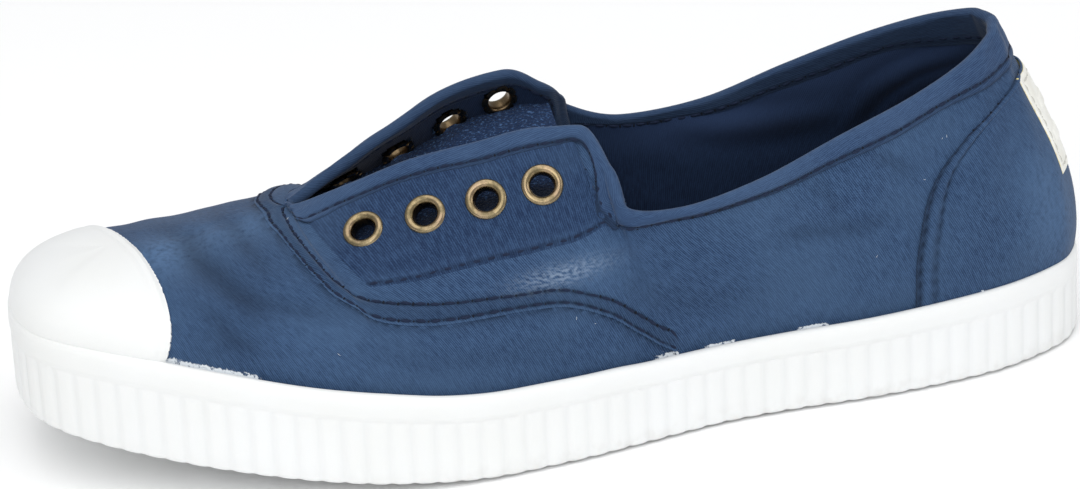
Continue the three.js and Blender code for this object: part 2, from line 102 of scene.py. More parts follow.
def section_columns():
    """The table as one closed loop of sections: lateral side out to the heel, medial side back."""
    table = np.array(SECTIONS, float)
    height = np.where(np.arange(LAST + 1) > CORNER, HEEL_HEIGHT, INSTEP_HEIGHT) / 100
    loop = [i if i <= LAST else LOOP - i for i in range(LOOP)]
    medial = np.arange(LOOP) > LAST
    rows = table[loop]
    tops = (rows[:, 6] - np.where(medial, rows[:, 7], 0)) * height[loop]
    return {
        "along": rows[:, 0] * LENGTH / 100,
        "x": np.where(medial, -rows[:, 2], rows[:, 1]) * BALL_WIDTH / 100,
        "top_along": rows[:, 3] * LENGTH / 100,
        "top_x": np.where(medial, -rows[:, 5], rows[:, 4]) * BALL_WIDTH / 100,
        "top_height": tops,
        "lean": rows[:, 8],
        "belly": rows[:, 9],
        "round": rows[:, 10],
        "wall": rows[:, 11] * FOXING_HEIGHT / 100,
    }


def gentle_slopes(before, after):
    """Slopes of a cubic that never swings past its points."""
    size = np.minimum(np.abs(before + after) / 2, 3 * np.minimum(np.abs(before), np.abs(after)))
    return np.where(before * after <= 0, 0, np.sign(before) * size)


def cubic(a, slope_a, b, slope_b, f):
    """The smooth curve from a to b, with its slopes, at the share f."""
    return (
        (2 * f**3 - 3 * f**2 + 1) * a
        + (f**3 - 2 * f**2 + f) * slope_a
        + (3 * f**2 - 2 * f**3) * b
        + (f**3 - f**2) * slope_b
    )


COLUMNS = section_columns()
SLOPES = {
    name: gentle_slopes(values - np.roll(values, 1), np.roll(values, -1) - values)
    for name, values in COLUMNS.items()
}
MIDDLE = (COLUMNS["x"].max() + COLUMNS["x"].min()) / 2  # of the whole width: the origin's x


def blend(name, w):
    """A column's value at any place round the shoe, between its sections too."""
    w = np.mod(w, LOOP)
    i = np.floor(w).astype(int) % LOOP
    j = (i + 1) % LOOP
    values, slopes = COLUMNS[name], SLOPES[name]
    return cubic(values[i], slopes[i], values[j], slopes[j], w - np.floor(w))


def spring(along):
    """How high the sole's underside has risen towards the toe."""
    start = SPRING_START * LENGTH
    return TOE_SPRING * (np.maximum(0, start - along) / start) ** SPRING_POWER


def smooth(t):
    """0 to 1 with soft ends."""
    t = np.clip(t, 0, 1)
    return t * t * (3 - 2 * t)


def sole_top(along):
    """Height of the sole's upper face, thicker under the heel."""
    thicker = smooth((along / LENGTH - 0.45) / 0.35)
    return spring(along) + SOLE_FOREFOOT + (SOLE_HEEL - SOLE_FOREFOOT) * thicker


def outline_normal(w):
    """Outward direction of the sole's outline, seen from above."""
    step = 0.02
    across = blend("x", w + step) - blend("x", w - step)
    along = blend("along", w + step) - blend("along", w - step)
    size = np.hypot(across, along)
    return along / size, -across / size


def outline(w, inset):
    """The sole's outline, moved in by inset."""
    nx, ny = outline_normal(w)
    return blend("x", w) - inset * nx, blend("along", w) - inset * ny


def section_of(w):
    """The section's number at w, the same on both sides."""
    w = np.mod(w, LOOP)
    return np.minimum(w, LOOP - w)


def ridge_slope(w):
    """Rise of the toe's ridge for each millimetre back."""
    step = 0.25
    at = np.clip(section_of(w), 1 + step, THROAT - step)
    rise = blend("top_height", at + step) - blend("top_height", at - step)
    return rise / (blend("top_along", at + step) - blend("top_along", at - step))


def upright(size):
    """Upward vectors of this size."""
    return np.stack([0 * size, 0 * size, size], -1)


def place(w, v):
    """A point of the last's surface: w runs round the shoe, v from the foot to the top."""
    w, v = np.broadcast_arrays(np.asarray(w, float), np.asarray(v, float))
    foot_x, foot_along = outline(w, UPPER_INSET)
    nx, ny = outline_normal(w)
    low = np.stack([foot_x, foot_along, sole_top(foot_along) + GAP], -1)
    start = np.stack([foot_x, foot_along, spring(foot_along) + blend("wall", w)], -1)
    end = np.stack([blend("top_x", w), blend("top_along", w), blend("top_height", w)], -1)
    belly, lean = np.radians(blend("belly", w)), np.radians(blend("lean", w))
    flat = np.sin(lean)
    rise = blend("round", w) * (end[..., 2] - start[..., 2])
    run = blend("round", w) * np.hypot(end[..., 0] - start[..., 0], end[..., 1] - start[..., 1])
    reach = flat * run + (1 - flat) * rise
    out = np.stack([nx, ny, 0 * nx], -1)
    first = start + out * (np.sin(belly) * rise)[..., None] + upright(np.cos(belly) * rise)
    tilt = ridge_slope(w) * ny * flat**2 - np.cos(lean)
    last = end + out * (flat * reach)[..., None] + upright(tilt * reach)
    t = np.clip((v - RISER) / (1 - RISER), 0, 1)[..., None]
    curve = (1 - t) ** 3 * start + 3 * (1 - t) ** 2 * t * first + 3 * (1 - t) * t**2 * last + t**3 * end
    straight = low + (start - low) * np.clip(v / RISER, 0, 1)[..., None]
    point = np.where((v < RISER)[..., None], straight, curve)
    return point - np.array([MIDDLE, LENGTH / 2, 0])


def unit(vectors):
    """The vectors, each made 1 long."""
    return vectors / (np.linalg.norm(vectors, axis=-1, keepdims=True) + 1e-12)


def normal(w, v):
    """Outward direction of the last's surface."""
    w, v = np.broadcast_arrays(np.asarray(w, float), np.asarray(v, float))
    step = 0.01
    along = place(w + step, v) - place(w - step, v)
    up = place(w, np.minimum(1, v + step)) - place(w, np.maximum(0, v - step))
    n = unit(np.cross(along, up))
    ridge = unit(np.stack([0 * w, -ridge_slope(w), 1 + 0 * w], -1))
    on_ridge = (section_of(w) <= THROAT) * smooth((v - 0.8) / 0.19)
    return unit(n + (ridge - n) * on_ridge[..., None])


def waviness(w, v):
    """The slight unevenness of well-used cloth, in millimetres."""
    waves = 0.13 * np.sin(2.9 * w + 7 * v) * np.sin(11 * v - 1.7 * w) + 0.09 * np.sin(6.3 * w - 9 * v + 1)
    ridge = smooth((THROAT + 0.6 - section_of(w)) / 1.2) * smooth((v - 0.85) / 0.13)
    return waves * smooth((v - 0.16) / 0.15) * (1 - ridge)


def skin(w, v, lift, wavy=1.0):
    """A point lift millimetres outside the last's surface, which for cloth is never quite even."""
    lift = np.asarray(lift, float) + wavy * waviness(w, v)
    return place(w, v) + normal(w, v) * lift[..., None]


def flow(rows, at):
    """A smooth line through a short table's rows; at counts rows."""
    rows = np.array(rows, float)
    at = np.clip(at, 0, len(rows) - 1)
    i = np.minimum(np.floor(at).astype(int), len(rows) - 2)
    steps = np.diff(rows, axis=0)
    slopes = np.vstack([steps[:1], gentle_slopes(steps[:-1], steps[1:]), steps[-1:]])
    f = (at - i)[..., None]
    return cubic(rows[i], slopes[i], rows[i + 1], slopes[i + 1], f)


def read_off(table, at):
    """A short table's second column at these values of its first."""
    return np.interp(at, *np.transpose(table))


def run_length(points, axis=0):
    """Distance along a line of points, from its first."""
    steps = np.linalg.norm(np.diff(points, axis=axis), axis=-1)
    zero = np.zeros_like(np.take(steps, [0], axis=axis))
    return np.concatenate([zero, np.cumsum(steps, axis=axis)], axis=axis)


# Cloth coordinates, in millimetres of cloth: round the shoe, and up from the foot.
ROUND = np.linspace(0, LOOP, 24 * LOOP + 1)
UPWARD = np.linspace(0, 1, 61)
ROUND_LENGTH = run_length(place(ROUND, 0.4))
UP_LENGTH = run_length(place(ROUND[:, None], UPWARD[None, :]), axis=1)


def cloth_place(w, v):
    """Where a point of the last lies on the flat cloth, for the weave."""
    w = np.asarray(w, float)
    turn = np.floor(w / LOOP)
    at = (w - turn * LOOP) / LOOP * (len(ROUND) - 1)
    u = np.interp(at, np.arange(len(ROUND)), ROUND_LENGTH) + turn * ROUND_LENGTH[-1]
    i = np.clip(np.floor(at).astype(int), 0, len(ROUND) - 2)
    k = np.clip(np.asarray(v, float), 0, 1) * (len(UPWARD) - 1)
    j = np.clip(np.floor(k).astype(int), 0, len(UPWARD) - 2)
    f, g = at - i, k - j
    low = UP_LENGTH[i, j] * (1 - g) + UP_LENGTH[i, j + 1] * g
    high = UP_LENGTH[i + 1, j] * (1 - g) + UP_LENGTH[i + 1, j + 1] * g
    return np.stack([u, low * (1 - f) + high * f], -1)


def under_edge(w, drop):
    """The height share that lies drop millimetres under the top edge; on the ridge, the edge itself."""
    w = np.asarray(w, float)
    step = np.linalg.norm(place(w, 1.0) - place(w, 0.98), axis=-1) / 0.02
    return 1 - drop * smooth((section_of(w) - THROAT - 0.1) / 0.8) / step


# ---- Camera, floor and light ----
CAMERA_AZIMUTH = 79.6
CAMERA_ELEVATION = 24.0
CAMERA_ROLL = -2.94
CAMERA_DISTANCE = 0.9644
CAMERA_LENS = 135.2
CAMERA_AIM = (-0.00535, 0.03369)  # right and up of the shoe's middle, as tangents


def make_camera():
    """Looks at the lateral side from a little in front and above."""
    azimuth, elevation, roll = map(math.radians, (CAMERA_AZIMUTH, CAMERA_ELEVATION, CAMERA_ROLL))
    level = Vector((math.cos(azimuth), math.sin(azimuth), 0))
    outwards = Vector((math.sin(azimuth), -math.cos(azimuth), 0))
    back = outwards * math.cos(elevation) + Vector((0, 0, math.sin(elevation)))
    right = level * math.cos(roll) + back.cross(level) * math.sin(roll)
    up = back.cross(right)
    away = (back - right * CAMERA_AIM[0] - up * CAMERA_AIM[1]).normalized()
    across = up.cross(away).normalized()
    turn = Matrix((across, away.cross(across), away)).transposed()
    bpy.ops.object.camera_add(location=back * CAMERA_DISTANCE - Vector((MIDDLE * MM, 0, 0)))
    camera = bpy.context.active_object
    camera.rotation_euler = turn.to_euler()
    camera.data.lens = CAMERA_LENS
    camera.data.sensor_width = 36
    bpy.context.scene.camera = camera


LIGHTS = [
    # name, place, width, watts
    ("top_light", (0.25, -0.15, 1.3), 1.5, 10.5),
    ("side_light", (1.3, -0.45, 0.75), 1.0, 7.4),
    ("heel_light", (0.5, 1.2, 0.8), 0.8, 3),
]


ROOM_LIGHT = 0.53
AIM_HEIGHT = 0.03


def make_lights():
    """Three broad lights in an evenly bright white room."""
    for name, at, width, watts in LIGHTS:
        bpy.ops.object.light_add(type="AREA", location=at)
        light = bpy.context.active_object
        light.name = name
        light.data.energy = watts
        light.data.size = width
        light.rotation_euler = (Vector((0, 0, AIM_HEIGHT)) - Vector(at)).to_track_quat("-Z", "Y").to_euler()
    world = bpy.data.worlds.new("studio")
    world.use_nodes = True
    background = world.node_tree.nodes["Background"]
    background.inputs["Color"].default_value = (0.98, 0.99, 1, 1)
    background.inputs["Strength"].default_value = ROOM_LIGHT
    bpy.context.scene.world = world
    bpy.context.scene.view_settings.view_transform = "Standard"


# ---- Materials ----
class Finish:
    """A node material, written a node at a time."""

    def __init__(self, name, **settings):
        self.material = bpy.data.materials.new(name)
        self.material.use_nodes = True
        self.tree = self.material.node_tree
        self.surface = self.tree.nodes["Principled BSDF"]
        for socket, value in settings.items():
            self.surface.inputs[socket.replace("_", " ")].default_value = value

    def node(self, kind, links=(), **settings):
        made = self.tree.nodes.new("ShaderNode" + kind)
        for key, value in settings.items():
            if hasattr(made, key):
                setattr(made, key, value)
            else:
                made.inputs[key.replace("_", " ")].default_value = value
        for socket, source in dict(links).items():
            self.link(source, made.inputs[socket])
        return made

    def link(self, source, target):
        self.tree.links.new(source, target)

    def number(self, operation, first, second=None, clamp=False):
        made = self.tree.nodes.new("ShaderNodeMath")
        made.operation = operation
        made.use_clamp = clamp
        for socket, value in zip(made.inputs, (first, second)):
            if value is None:
                continue
            if isinstance(value, (int, float)):
                socket.default_value = value
            else:
                self.link(value, socket)
        return made.outputs[0]

    def mix(self, share, first, second):
        made = self.tree.nodes.new("ShaderNodeMix")
        made.data_type = "RGBA"
        for socket, value in zip((made.inputs[0], made.inputs[6], made.inputs[7]), (share, first, second)):
            if isinstance(value, (int, float, tuple)):
                socket.default_value = value if not isinstance(value, tuple) else (*value, 1)
            else:
                self.link(value, socket)
        return made.outputs[2]

    def noise(self, place_on, scale, detail=3.0, roughness=0.5):
        made = self.node("TexNoise", {"Vector": place_on})
        made.inputs["Scale"].default_value = scale
        made.inputs["Detail"].default_value = detail
        made.inputs["Roughness"].default_value = roughness
        return made.outputs["Fac"]

    def stretch(self, source, scale=(1, 1, 1), turn=0.0):
        made = self.node("Mapping", {"Vector": source})
        made.inputs["Scale"].default_value = scale
        made.inputs["Rotation"].default_value = (0, 0, math.radians(turn))
        return made.outputs["Vector"]

    def ramp(self, value, low, high):
        """0 at low and under, 1 at high and over."""
        made = self.node("MapRange", {"Value": value})
        made.interpolation_type = "SMOOTHSTEP"
        made.inputs["From Min"].default_value = low
        made.inputs["From Max"].default_value = high
        return made.outputs["Result"]

    def painted(self, name):
        return self.node("Attribute", attribute_name=name).outputs["Fac"]

    def coordinates(self, kind):
        return self.node("TexCoord").outputs[kind]

    def bump(self, height, strength, distance, under=None):
        made = self.node("Bump", {"Height": height})
        made.inputs["Strength"].default_value = strength
        made.inputs["Distance"].default_value = distance
        if under is not None:
            self.link(under, made.inputs["Normal"])
        return made.outputs["Normal"]

    def done(self, colour, normal_map=None, roughness=None):
        self.link(colour, self.surface.inputs["Base Color"])
        if normal_map is not None:
            self.link(normal_map, self.surface.inputs["Normal"])
        if roughness is not None:
            self.link(roughness, self.surface.inputs["Roughness"])
        return self.material


TWILL_PITCH = 0.46
TWILL_TURN = -26
WAVE_PERIOD = 2 * math.pi / 20  # a wave texture's period at scale 1


def canvas_finish(name, dark, light, faded, twill_turn=TWILL_TURN, lit=(0.024, 0.046, 0.11), twill=0.4):
    """Washed cotton twill: fine slanting lines, streaky threads, soft fading, and the painted wear, chalk
    and cement, with painted shade and painted light.
    """
    f = Finish(name, Roughness=0.95, Specular_IOR_Level=0.2, Sheen_Weight=0.12, Sheen_Roughness=0.35)
    cloth = f.coordinates("UV")
    lines = f.node("TexWave", {"Vector": f.stretch(cloth, turn=twill_turn)})
    lines.inputs["Scale"].default_value = WAVE_PERIOD / TWILL_PITCH
    lines.inputs["Distortion"].default_value = 1.2
    lines.inputs["Detail Scale"].default_value = 1.5
    along_lines = f.stretch(f.stretch(cloth, turn=twill_turn), scale=(1 / TWILL_PITCH, 0.35, 1))
    threads = f.noise(along_lines, 1.0, detail=2)
    crossing = f.noise(f.stretch(cloth, scale=(1.4, 3.2, 1)), 1.0, detail=2)
    slanting = f.number("MULTIPLY", lines.outputs["Fac"], twill)
    weave = f.number("ADD", slanting, f.number("MULTIPLY", threads, 0.9))
    weave = f.number("ADD", weave, f.number("MULTIPLY", crossing, 0.45))
    thread_colour = f.mix(f.ramp(weave, 0.55, 1.2), dark, light)
    body = f.coordinates("Object")
    wash = f.ramp(f.noise(body, 28, detail=4, roughness=0.6), 0.38, 0.72)
    colour = f.mix(f.number("MULTIPLY", wash, 0.45), thread_colour, faded)
    patchy = f.ramp(f.noise(body, 700, detail=2), 0.1, 0.65)
    # lightens the cloth: real wear on folded edges, and painted light where broad patches are made lighter
    worn = f.number("MULTIPLY", f.painted("worn"), patchy, clamp=True)
    colour = f.mix(worn, colour, tuple(min(1, 1.5 * c) for c in faded))
    shade = f.number("MULTIPLY", f.painted("shade"), 0.85, clamp=True)
    colour = f.mix(shade, colour, tuple(0.25 * c for c in dark))
    rubbed = f.ramp(f.noise(f.stretch(cloth, scale=(0.9, 1.7, 1)), 1.0), 0.34, 0.66)
    chalk = f.number("MULTIPLY", f.painted("chalk"), rubbed)
    colour = f.mix(f.number("MULTIPLY", chalk, 0.75), colour, (0.22, 0.29, 0.40))
    colour = f.mix(f.painted("lit"), colour, lit)
    crumbs = f.number("MULTIPLY", f.noise(body, 900, detail=3, roughness=0.7), 0.9)
    glue = f.number("ADD", f.painted("glue"), crumbs)
    colour = f.mix(f.ramp(glue, 1.0, 1.16), colour, (0.78, 0.82, 0.86))
    height = f.number("ADD", f.number("MULTIPLY", lines.outputs["Fac"], 0.5), threads)
    rough_cloth = f.bump(f.noise(body, 160, detail=3), 0.25, 0.0006)
    return f.done(colour, f.bump(height, 0.55, 0.00018, rough_cloth))


def elastic_finish():
    """Terry-faced elastic: dark loops with pale tips."""
    f = Finish("elastic_terry", Roughness=0.95, Specular_IOR_Level=0.2)
    f.surface.inputs["Sheen Weight"].default_value = 0.02
    f.surface.inputs["Sheen Roughness"].default_value = 0.4
    body = f.coordinates("Object")
    loops = f.node("TexVoronoi", {"Vector": body})
    loops.inputs["Scale"].default_value = 1500
    tips = f.ramp(f.noise(body, 1300, detail=2), 0.52, 0.72)
    colour = f.mix(f.number("MULTIPLY", tips, 0.8), (0.008, 0.024, 0.072), (0.07, 0.15, 0.32))
    # painted shade where the stay covers the elastic
    colour = f.mix(f.number("MULTIPLY", f.painted("shade"), 0.85), colour, (0.004, 0.008, 0.02))
    return f.done(colour, f.bump(loops.outputs["Distance"], 0.9, 0.0006))


def rubber_finish():
    """White rubber: a slight grain, a trace of yellow, dust low down, and the rib valleys painted darker.
    """
    f = Finish("white_rubber", Roughness=0.5, Subsurface_Weight=0.06, Subsurface_Scale=0.002)
    body = f.coordinates("Object")
    f.surface.inputs["Subsurface Radius"].default_value = (1, 0.9, 0.8)
    tint = f.ramp(f.noise(body, 22, detail=4), 0.35, 0.75)
    colour = f.mix(tint, (0.81, 0.82, 0.822), (0.785, 0.793, 0.782))
    # the rib valleys painted darker: painted shade, with some dust
    groove = f.number("MULTIPLY", f.painted("groove"), 0.12)
    colour = f.mix(groove, colour, (0.6, 0.62, 0.63))
    low = f.node("SeparateXYZ", {"Vector": body}).outputs["Z"]
    dust = f.number("MULTIPLY", f.ramp(low, 0.006, 0.0), f.ramp(f.noise(body, 240, detail=5), 0.42, 0.66))
    colour = f.mix(f.number("MULTIPLY", dust, 0.3), colour, (0.55, 0.53, 0.5))
    grain = f.noise(body, 1800, detail=2)
    rough = f.node("MapRange", {"Value": tint}, To_Min=0.46, To_Max=0.58).outputs[0]
    return f.done(colour, f.bump(grain, 0.12, 0.0002), rough)


def brass_finish():
    """Antique brass with a patchy patina, bright and pinkish where it rubs; painted shade on the barrel and
    on the petals inside the shoe.
    """
    f = Finish("antique_brass", Metallic=1.0, Roughness=0.3)
    body = f.coordinates("Object")
    patina = f.ramp(f.noise(body, 420, detail=4, roughness=0.65), 0.38, 0.68)
    rubbed = f.node("NewGeometry").outputs["Pointiness"]
    bright = f.mix(f.ramp(f.noise(body, 150), 0.4, 0.65), (0.3, 0.23, 0.125), (0.32, 0.225, 0.15))
    colour = f.mix(patina, bright, (0.15, 0.12, 0.065))
    colour = f.mix(f.ramp(rubbed, 0.52, 0.6), colour, (0.42, 0.35, 0.23))
    # painted shade on the barrel and the clenched petals inside the shoe
    colour = f.mix(f.painted("dull"), colour, (0.13, 0.09, 0.05))
    rough = f.node("MapRange", {"Value": patina}, To_Min=0.24, To_Max=0.42).outputs[0]
    return f.done(colour, f.bump(f.noise(body, 2500), 0.1, 0.0001), rough)


def patch_finish():
    """Off-white label, yellowed and frayed at its edge."""
    f = Finish("label", Roughness=0.55)
    body = f.coordinates("Object")
    colour = f.mix(f.ramp(f.noise(body, 90, detail=4), 0.4, 0.7), (0.86, 0.86, 0.82), (0.78, 0.77, 0.71))
    fray = f.number("ADD", f.painted("edge"), f.number("MULTIPLY", f.noise(body, 1500, detail=3), 0.5))
    colour = f.mix(f.ramp(fray, 0.62, 0.95), colour, (0.62, 0.54, 0.22))
    return f.done(colour, f.bump(f.noise(body, 900, detail=3), 0.3, 0.0002))


def thread_finish(name, colour, dark):
    """Twisted cotton thread."""
    f = Finish(name, Roughness=0.85, Specular_IOR_Level=0.25)
    body = f.coordinates("Object")
    twist = f.noise(body, 2600, detail=1)
    return f.done(f.mix(twist, dark, colour), f.bump(twist, 0.5, 0.0002))


def floor_finish():
    """Pale, even studio floor."""
    f = Finish("pale_floor", Roughness=0.8)
    body = f.coordinates("Object")
    return f.done(f.mix(f.noise(body, 6, detail=2), (0.985, 0.985, 0.985), (0.995, 0.995, 0.995)))


# ---- Shaping ----
def only(piece):
    """Selects this piece and nothing else."""
    bpy.ops.object.select_all(action="DESELECT")
    piece.select_set(True)
    bpy.context.view_layer.objects.active = piece


def paint(piece, name, values):
    """Stores a value at each corner, for the materials to read."""
    layer = piece.data.attributes.new(name, "FLOAT", "POINT")
    layer.data.foreach_set("value", np.asarray(values, np.float32).ravel())


def laid(name, points, cloth=None, **painted):
    """A flat grid whose corners are laid on points[i, j]; cloth gives its UV map, in millimetres."""
    across, up = points.shape[0] - 1, points.shape[1] - 1
    bpy.ops.object.select_all(action="DESELECT")
    bpy.ops.mesh.primitive_grid_add(x_subdivisions=across, y_subdivisions=up, size=1)
    piece = bpy.context.active_object
    piece.name = piece.data.name = name
    flat = np.zeros(3 * len(piece.data.vertices))
    piece.data.vertices.foreach_get("co", flat)
    flat = flat.reshape(-1, 3)
    i = np.rint((flat[:, 0] + 0.5) * across).astype(int)
    j = np.rint((flat[:, 1] + 0.5) * up).astype(int)
    piece.data.vertices.foreach_set("co", (points[i, j] * MM).ravel())
    if cloth is not None:
        corners = np.zeros(len(piece.data.loops), int)
        piece.data.loops.foreach_get("vertex_index", corners)
        piece.data.uv_layers[0].data.foreach_set("uv", cloth[i, j][corners].ravel())
    for key, values in painted.items():
        paint(piece, key, np.broadcast_to(values, points.shape[:2])[i, j])
    piece.data.update()
    return piece


def edited(piece, operator, **settings):
    """Runs one edit-mode operator on all of the piece."""
    only(piece)
    bpy.ops.object.mode_set(mode="EDIT")
    bpy.ops.mesh.select_all(action="SELECT")
    operator(**settings)
    bpy.ops.object.mode_set(mode="OBJECT")
    return piece


def merged(piece, distance=0.02):
    """Welds the corners that fall on each other, as where a grid closes on itself."""
    return edited(piece, bpy.ops.mesh.remove_doubles, threshold=distance * MM)


def outward(piece):
    """Turns the faces of a closed piece outwards."""
    return edited(piece, bpy.ops.mesh.normals_make_consistent, inside=False)


def flip(piece):
    """Turns every face the other way round, for what is mirrored."""
    return edited(piece, bpy.ops.mesh.flip_normals)


def joined(name, vertices, polygons):
    """One piece made of many small closed shapes; vertices in millimetres."""
    mesh = bpy.data.meshes.new(name)
    mesh.from_pydata((np.asarray(vertices) * MM).tolist(), [], polygons)
    piece = bpy.data.objects.new(name, mesh)
    bpy.context.scene.collection.objects.link(piece)
    return piece


def modified(piece, kind, **settings):
    """Adds a modifier and applies it at once."""
    only(piece)
    modifier = piece.modifiers.new(kind.lower(), kind)
    for key, value in settings.items():
        setattr(modifier, key, value)
    bpy.ops.object.modifier_apply(modifier=modifier.name)
    return piece


def thickened(piece, thickness, inner=0):
    """Gives a sheet its thickness inwards, its outer face staying where it was laid."""
    return modified(
        piece, "SOLIDIFY", thickness=thickness * MM, offset=-1, use_even_offset=False, material_offset=inner
    )


def finished(piece, slot, *materials, stands_for=(), smooth_angle=40):
    """Smooths the piece, gives it its materials and ties it to the shoe."""
    only(piece)
    bpy.ops.object.shade_smooth_by_angle(angle=math.radians(smooth_angle))
    for material in materials:
        if material.name not in piece.data.materials:
            piece.data.materials.append(material)
    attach(piece, "root")
    if stands_for:
        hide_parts(*stands_for)
    return piece


def span(first, last, count):
    """Even steps from first to last, count of them."""
    return np.linspace(first, last, count + 1)


def between(first, second, share):
    """Lines from each point of one (w, v) curve to its fellow on the other: [i, j, (w, v)]."""
    share = np.asarray(share, float)[None, :, None]
    return first[:, None, :] * (1 - share) + second[:, None, :] * share


def near(value, middle, width):
    """1 at the middle, fading to 0 about two widths away."""
    return np.exp(-(((value - middle) / width) ** 2))


# ---- Lines on the upper, as (section, height) pairs: lateral side, and mirrored on the medial side ----
QUARTER_EDGE = [
    # section, height, section above it on the top edge
    [6.42, 1.0, 7.05],
    [6.55, 0.92, 7.2],
    [6.68, 0.86, 7.35],
    [6.79, 0.745, 7.6],
    [6.88, 0.62, 8.0],
    [7.06, 0.523, 8.4],
    [7.95, 0.458, 9.0],
    [8.75, 0.412, 9.5],
    [9.65, 0.385, 10.1],
    [10.6, 0.375, 10.9],
    [11.5, 0.362, 11.7],
    [12.25, 0.335, 12.4],
    [13.15, 0.292, 13.1],
    [14.15, 0.238, 14.0],
    [14.88, 0.165, 14.8],
    [15.2, 0.11, 15.4],
    [15.8, 0.11, 16.2],
]
MEDIAL_FRONT = [6.42, 6.36, 6.33, 6.4, 6.62, 7.0]  # the medial edge runs further forward near the ridge
BAND_STITCH = 1.1  # the first row, from the quarter's edge
BAND_WIDTH = [
    # section, and how far the second row runs from the quarter's edge
    [7.2, 5.7],
    [9.0, 5.2],
    [10.8, 3.8],
    [12.4, 3.8],
    [13.6, 4.8],
    [15.0, 5.2],
]
QUARTER_FOOT = 0.11  # height share of the quarter's foot, behind the sidewall
SEWN_ABOVE = 0.13  # the band's stitches start above this height share
STAY_STITCH = [
    [8.5, 0.585],
    [9.15, 0.566],
    [9.9, 0.552],
    [10.5, 0.55],
    [11.3, 0.546],
    [12.1, 0.556],
    [12.8, 0.588],
    [13.5, 0.635],
]
# By section on the stay's lower edge: the section and the height of its upper edge.
STAY_TOP_SECTION = [[8.5, 8.15], [9.2, 9.0], [12.6, 12.75], [13.5, 13.02]]
STAY_TOP_HEIGHT = [[8.5, 0.93], [9.0, 0.96], [12.6, 0.955], [13.5, 0.72]]
BINDING = [
    # section on the top edge, then section and height of the stitch line under it
    [7.0, 7.75, 0.93],
    [7.6, 8.1, 0.918],
    [8.2, 8.45, 0.922],
    [8.85, 8.88, 0.93],
    [9.55, 9.55, 0.93],
    [10.3, 10.3, 0.922],
    [11.0, 11.0, 0.915],
    [11.7, 11.68, 0.918],
    [12.3, 12.25, 0.928],
    [12.75, 12.7, 0.937],
    [13.1, 13.04, 0.926],
    [13.4, 13.27, 0.895],
    [13.8, 13.33, 0.835],
    [14.15, 13.28, 0.78],
    [14.5, 13.22, 0.73],
    [14.8, 13.32, 0.69],
    [15.05, 13.75, 0.69],
    [15.3, 14.45, 0.79],
    [15.6, 15.2, 0.9],
    [16.0, 15.92, 0.94],
    [16.6, 16.58, 0.93],
    [17.4, 17.4, 0.91],
    [18.1, 18.1, 0.898],
    [18.65, 18.65, 0.893],
    [19.3, 19.3, 0.9],
    [20.7, 20.7, 0.868],
    [22.0, 22.0, 0.868],
    [23.0, 23.0, 0.868],
]
HEEL_EDGE = [
    [18.7, 0.12],
    [18.72, 0.3],
    [18.85, 0.46],
    [18.98, 0.56],
    [19.18, 0.635],
    [19.5, 0.69],
    [20.0, 0.735],
    [21.3, 0.78],
]
HEEL_STITCH = 1.0  # the first row, from the heel panel's edge
HEEL_ROWS_APART = 3.6
CREASES = [
    # the crease's parts, each a line of section and height; depth and width in millimetres; how much
    # painted shade darkens it
    (
        [
            [[-4.4, 0.78], [-4.45, 0.95], [-4.6, 1.0]],
            [[4.6, 1.0], [4.98, 0.84], [5.36, 0.7], [5.54, 0.56], [5.62, 0.44]],
        ],
        0.7,
        4.4,
        0.6,
    ),
    (
        [
            [[-5.5, 0.8], [-5.6, 0.96], [-5.7, 1.0]],
            [[5.7, 1.0], [5.96, 0.87], [6.1, 0.76], [6.15, 0.66]],
        ],
        0.55,
        2.8,
        0.4,
    ),
    ([[[5.5, 0.62], [6.1, 0.53], [6.9, 0.47]]], 0.4, 3.2, 0.3),
    ([[[4.7, 0.56], [4.95, 0.47], [5.05, 0.37], [5.3, 0.28]]], 0.5, 2.6, 0.35),
    ([[[4.6, 0.34], [5.2, 0.24]]], 0.3, 5.0, 0.25),
    ([[[7.4, 0.33], [8.8, 0.26], [10.5, 0.24], [12.0, 0.22]]], 0.45, 4.0, 0.16),
    ([[[-6.3, 0.7], [-5.7, 0.5], [-5.2, 0.35]]], 0.6, 3.6, 0.3),
]
FAR_FOLDS = [
    # folds of the medial wall that show inside the collar
    ([[[29.3, 0.87], [28.6, 0.76], [28.1, 0.69], [27.4, 0.64]]], 0.9, 2.6, 0.8),
    ([[[27.3, 0.56], [27.0, 0.64], [26.7, 0.71], [26.0, 0.76], [25.1, 0.79]]], 0.9, 2.0, 0.9),
    ([[[27.0, 0.5], [26.5, 0.6], [26.0, 0.67], [25.0, 0.72]]], 0.7, 1.8, 0.8),
]
QUARTER_CREASES = [
    ([[[17.1, 0.66], [17.4, 0.62], [18.0, 0.55], [18.4, 0.54]]], 0.5, 2.6, 0.3),
    ([[[17.6, 0.86], [17.75, 0.74], [17.85, 0.62]]], 0.35, 2.4, 0.2),
    ([[[18.35, 0.84], [18.6, 0.76], [18.85, 0.68]]], 0.4, 2.2, 0.3),
    ([[[13.6, 0.45], [15.0, 0.43], [16.6, 0.36]]], 0.55, 5.0, 0.18),
    ([[[20.6, 0.62], [20.4, 0.4], [20.2, 0.25]]], 0.4, 5.0, 0.15),
]
PAINTED_LIGHT_PATCHES = [
    # section, height; radius in millimetres; how much lighter, as painted light
    (4.0, 0.85, 9, 0.6),
    (4.5, 0.97, 9, 0.75),
    (6.1, 0.95, 7, 0.6),
    (6.33, 0.4, 11, 0.15),
    (21.2, 0.3, 11, 0.5),
    (20.9, 0.48, 9, 0.35),
    (12.6, 0.45, 9, 0.3),
]


def painted_light_patches(points):
    """Where the cloth is painted lighter, as painted light."""
    worn = np.zeros(points.shape[:-1])
    for w, v, radius, amount in PAINTED_LIGHT_PATCHES:
        away = np.linalg.norm(points - place(w, v), axis=-1)
        worn += amount * near(away, 0, radius)
    return worn


def mirrored(w):
    return LOOP - w


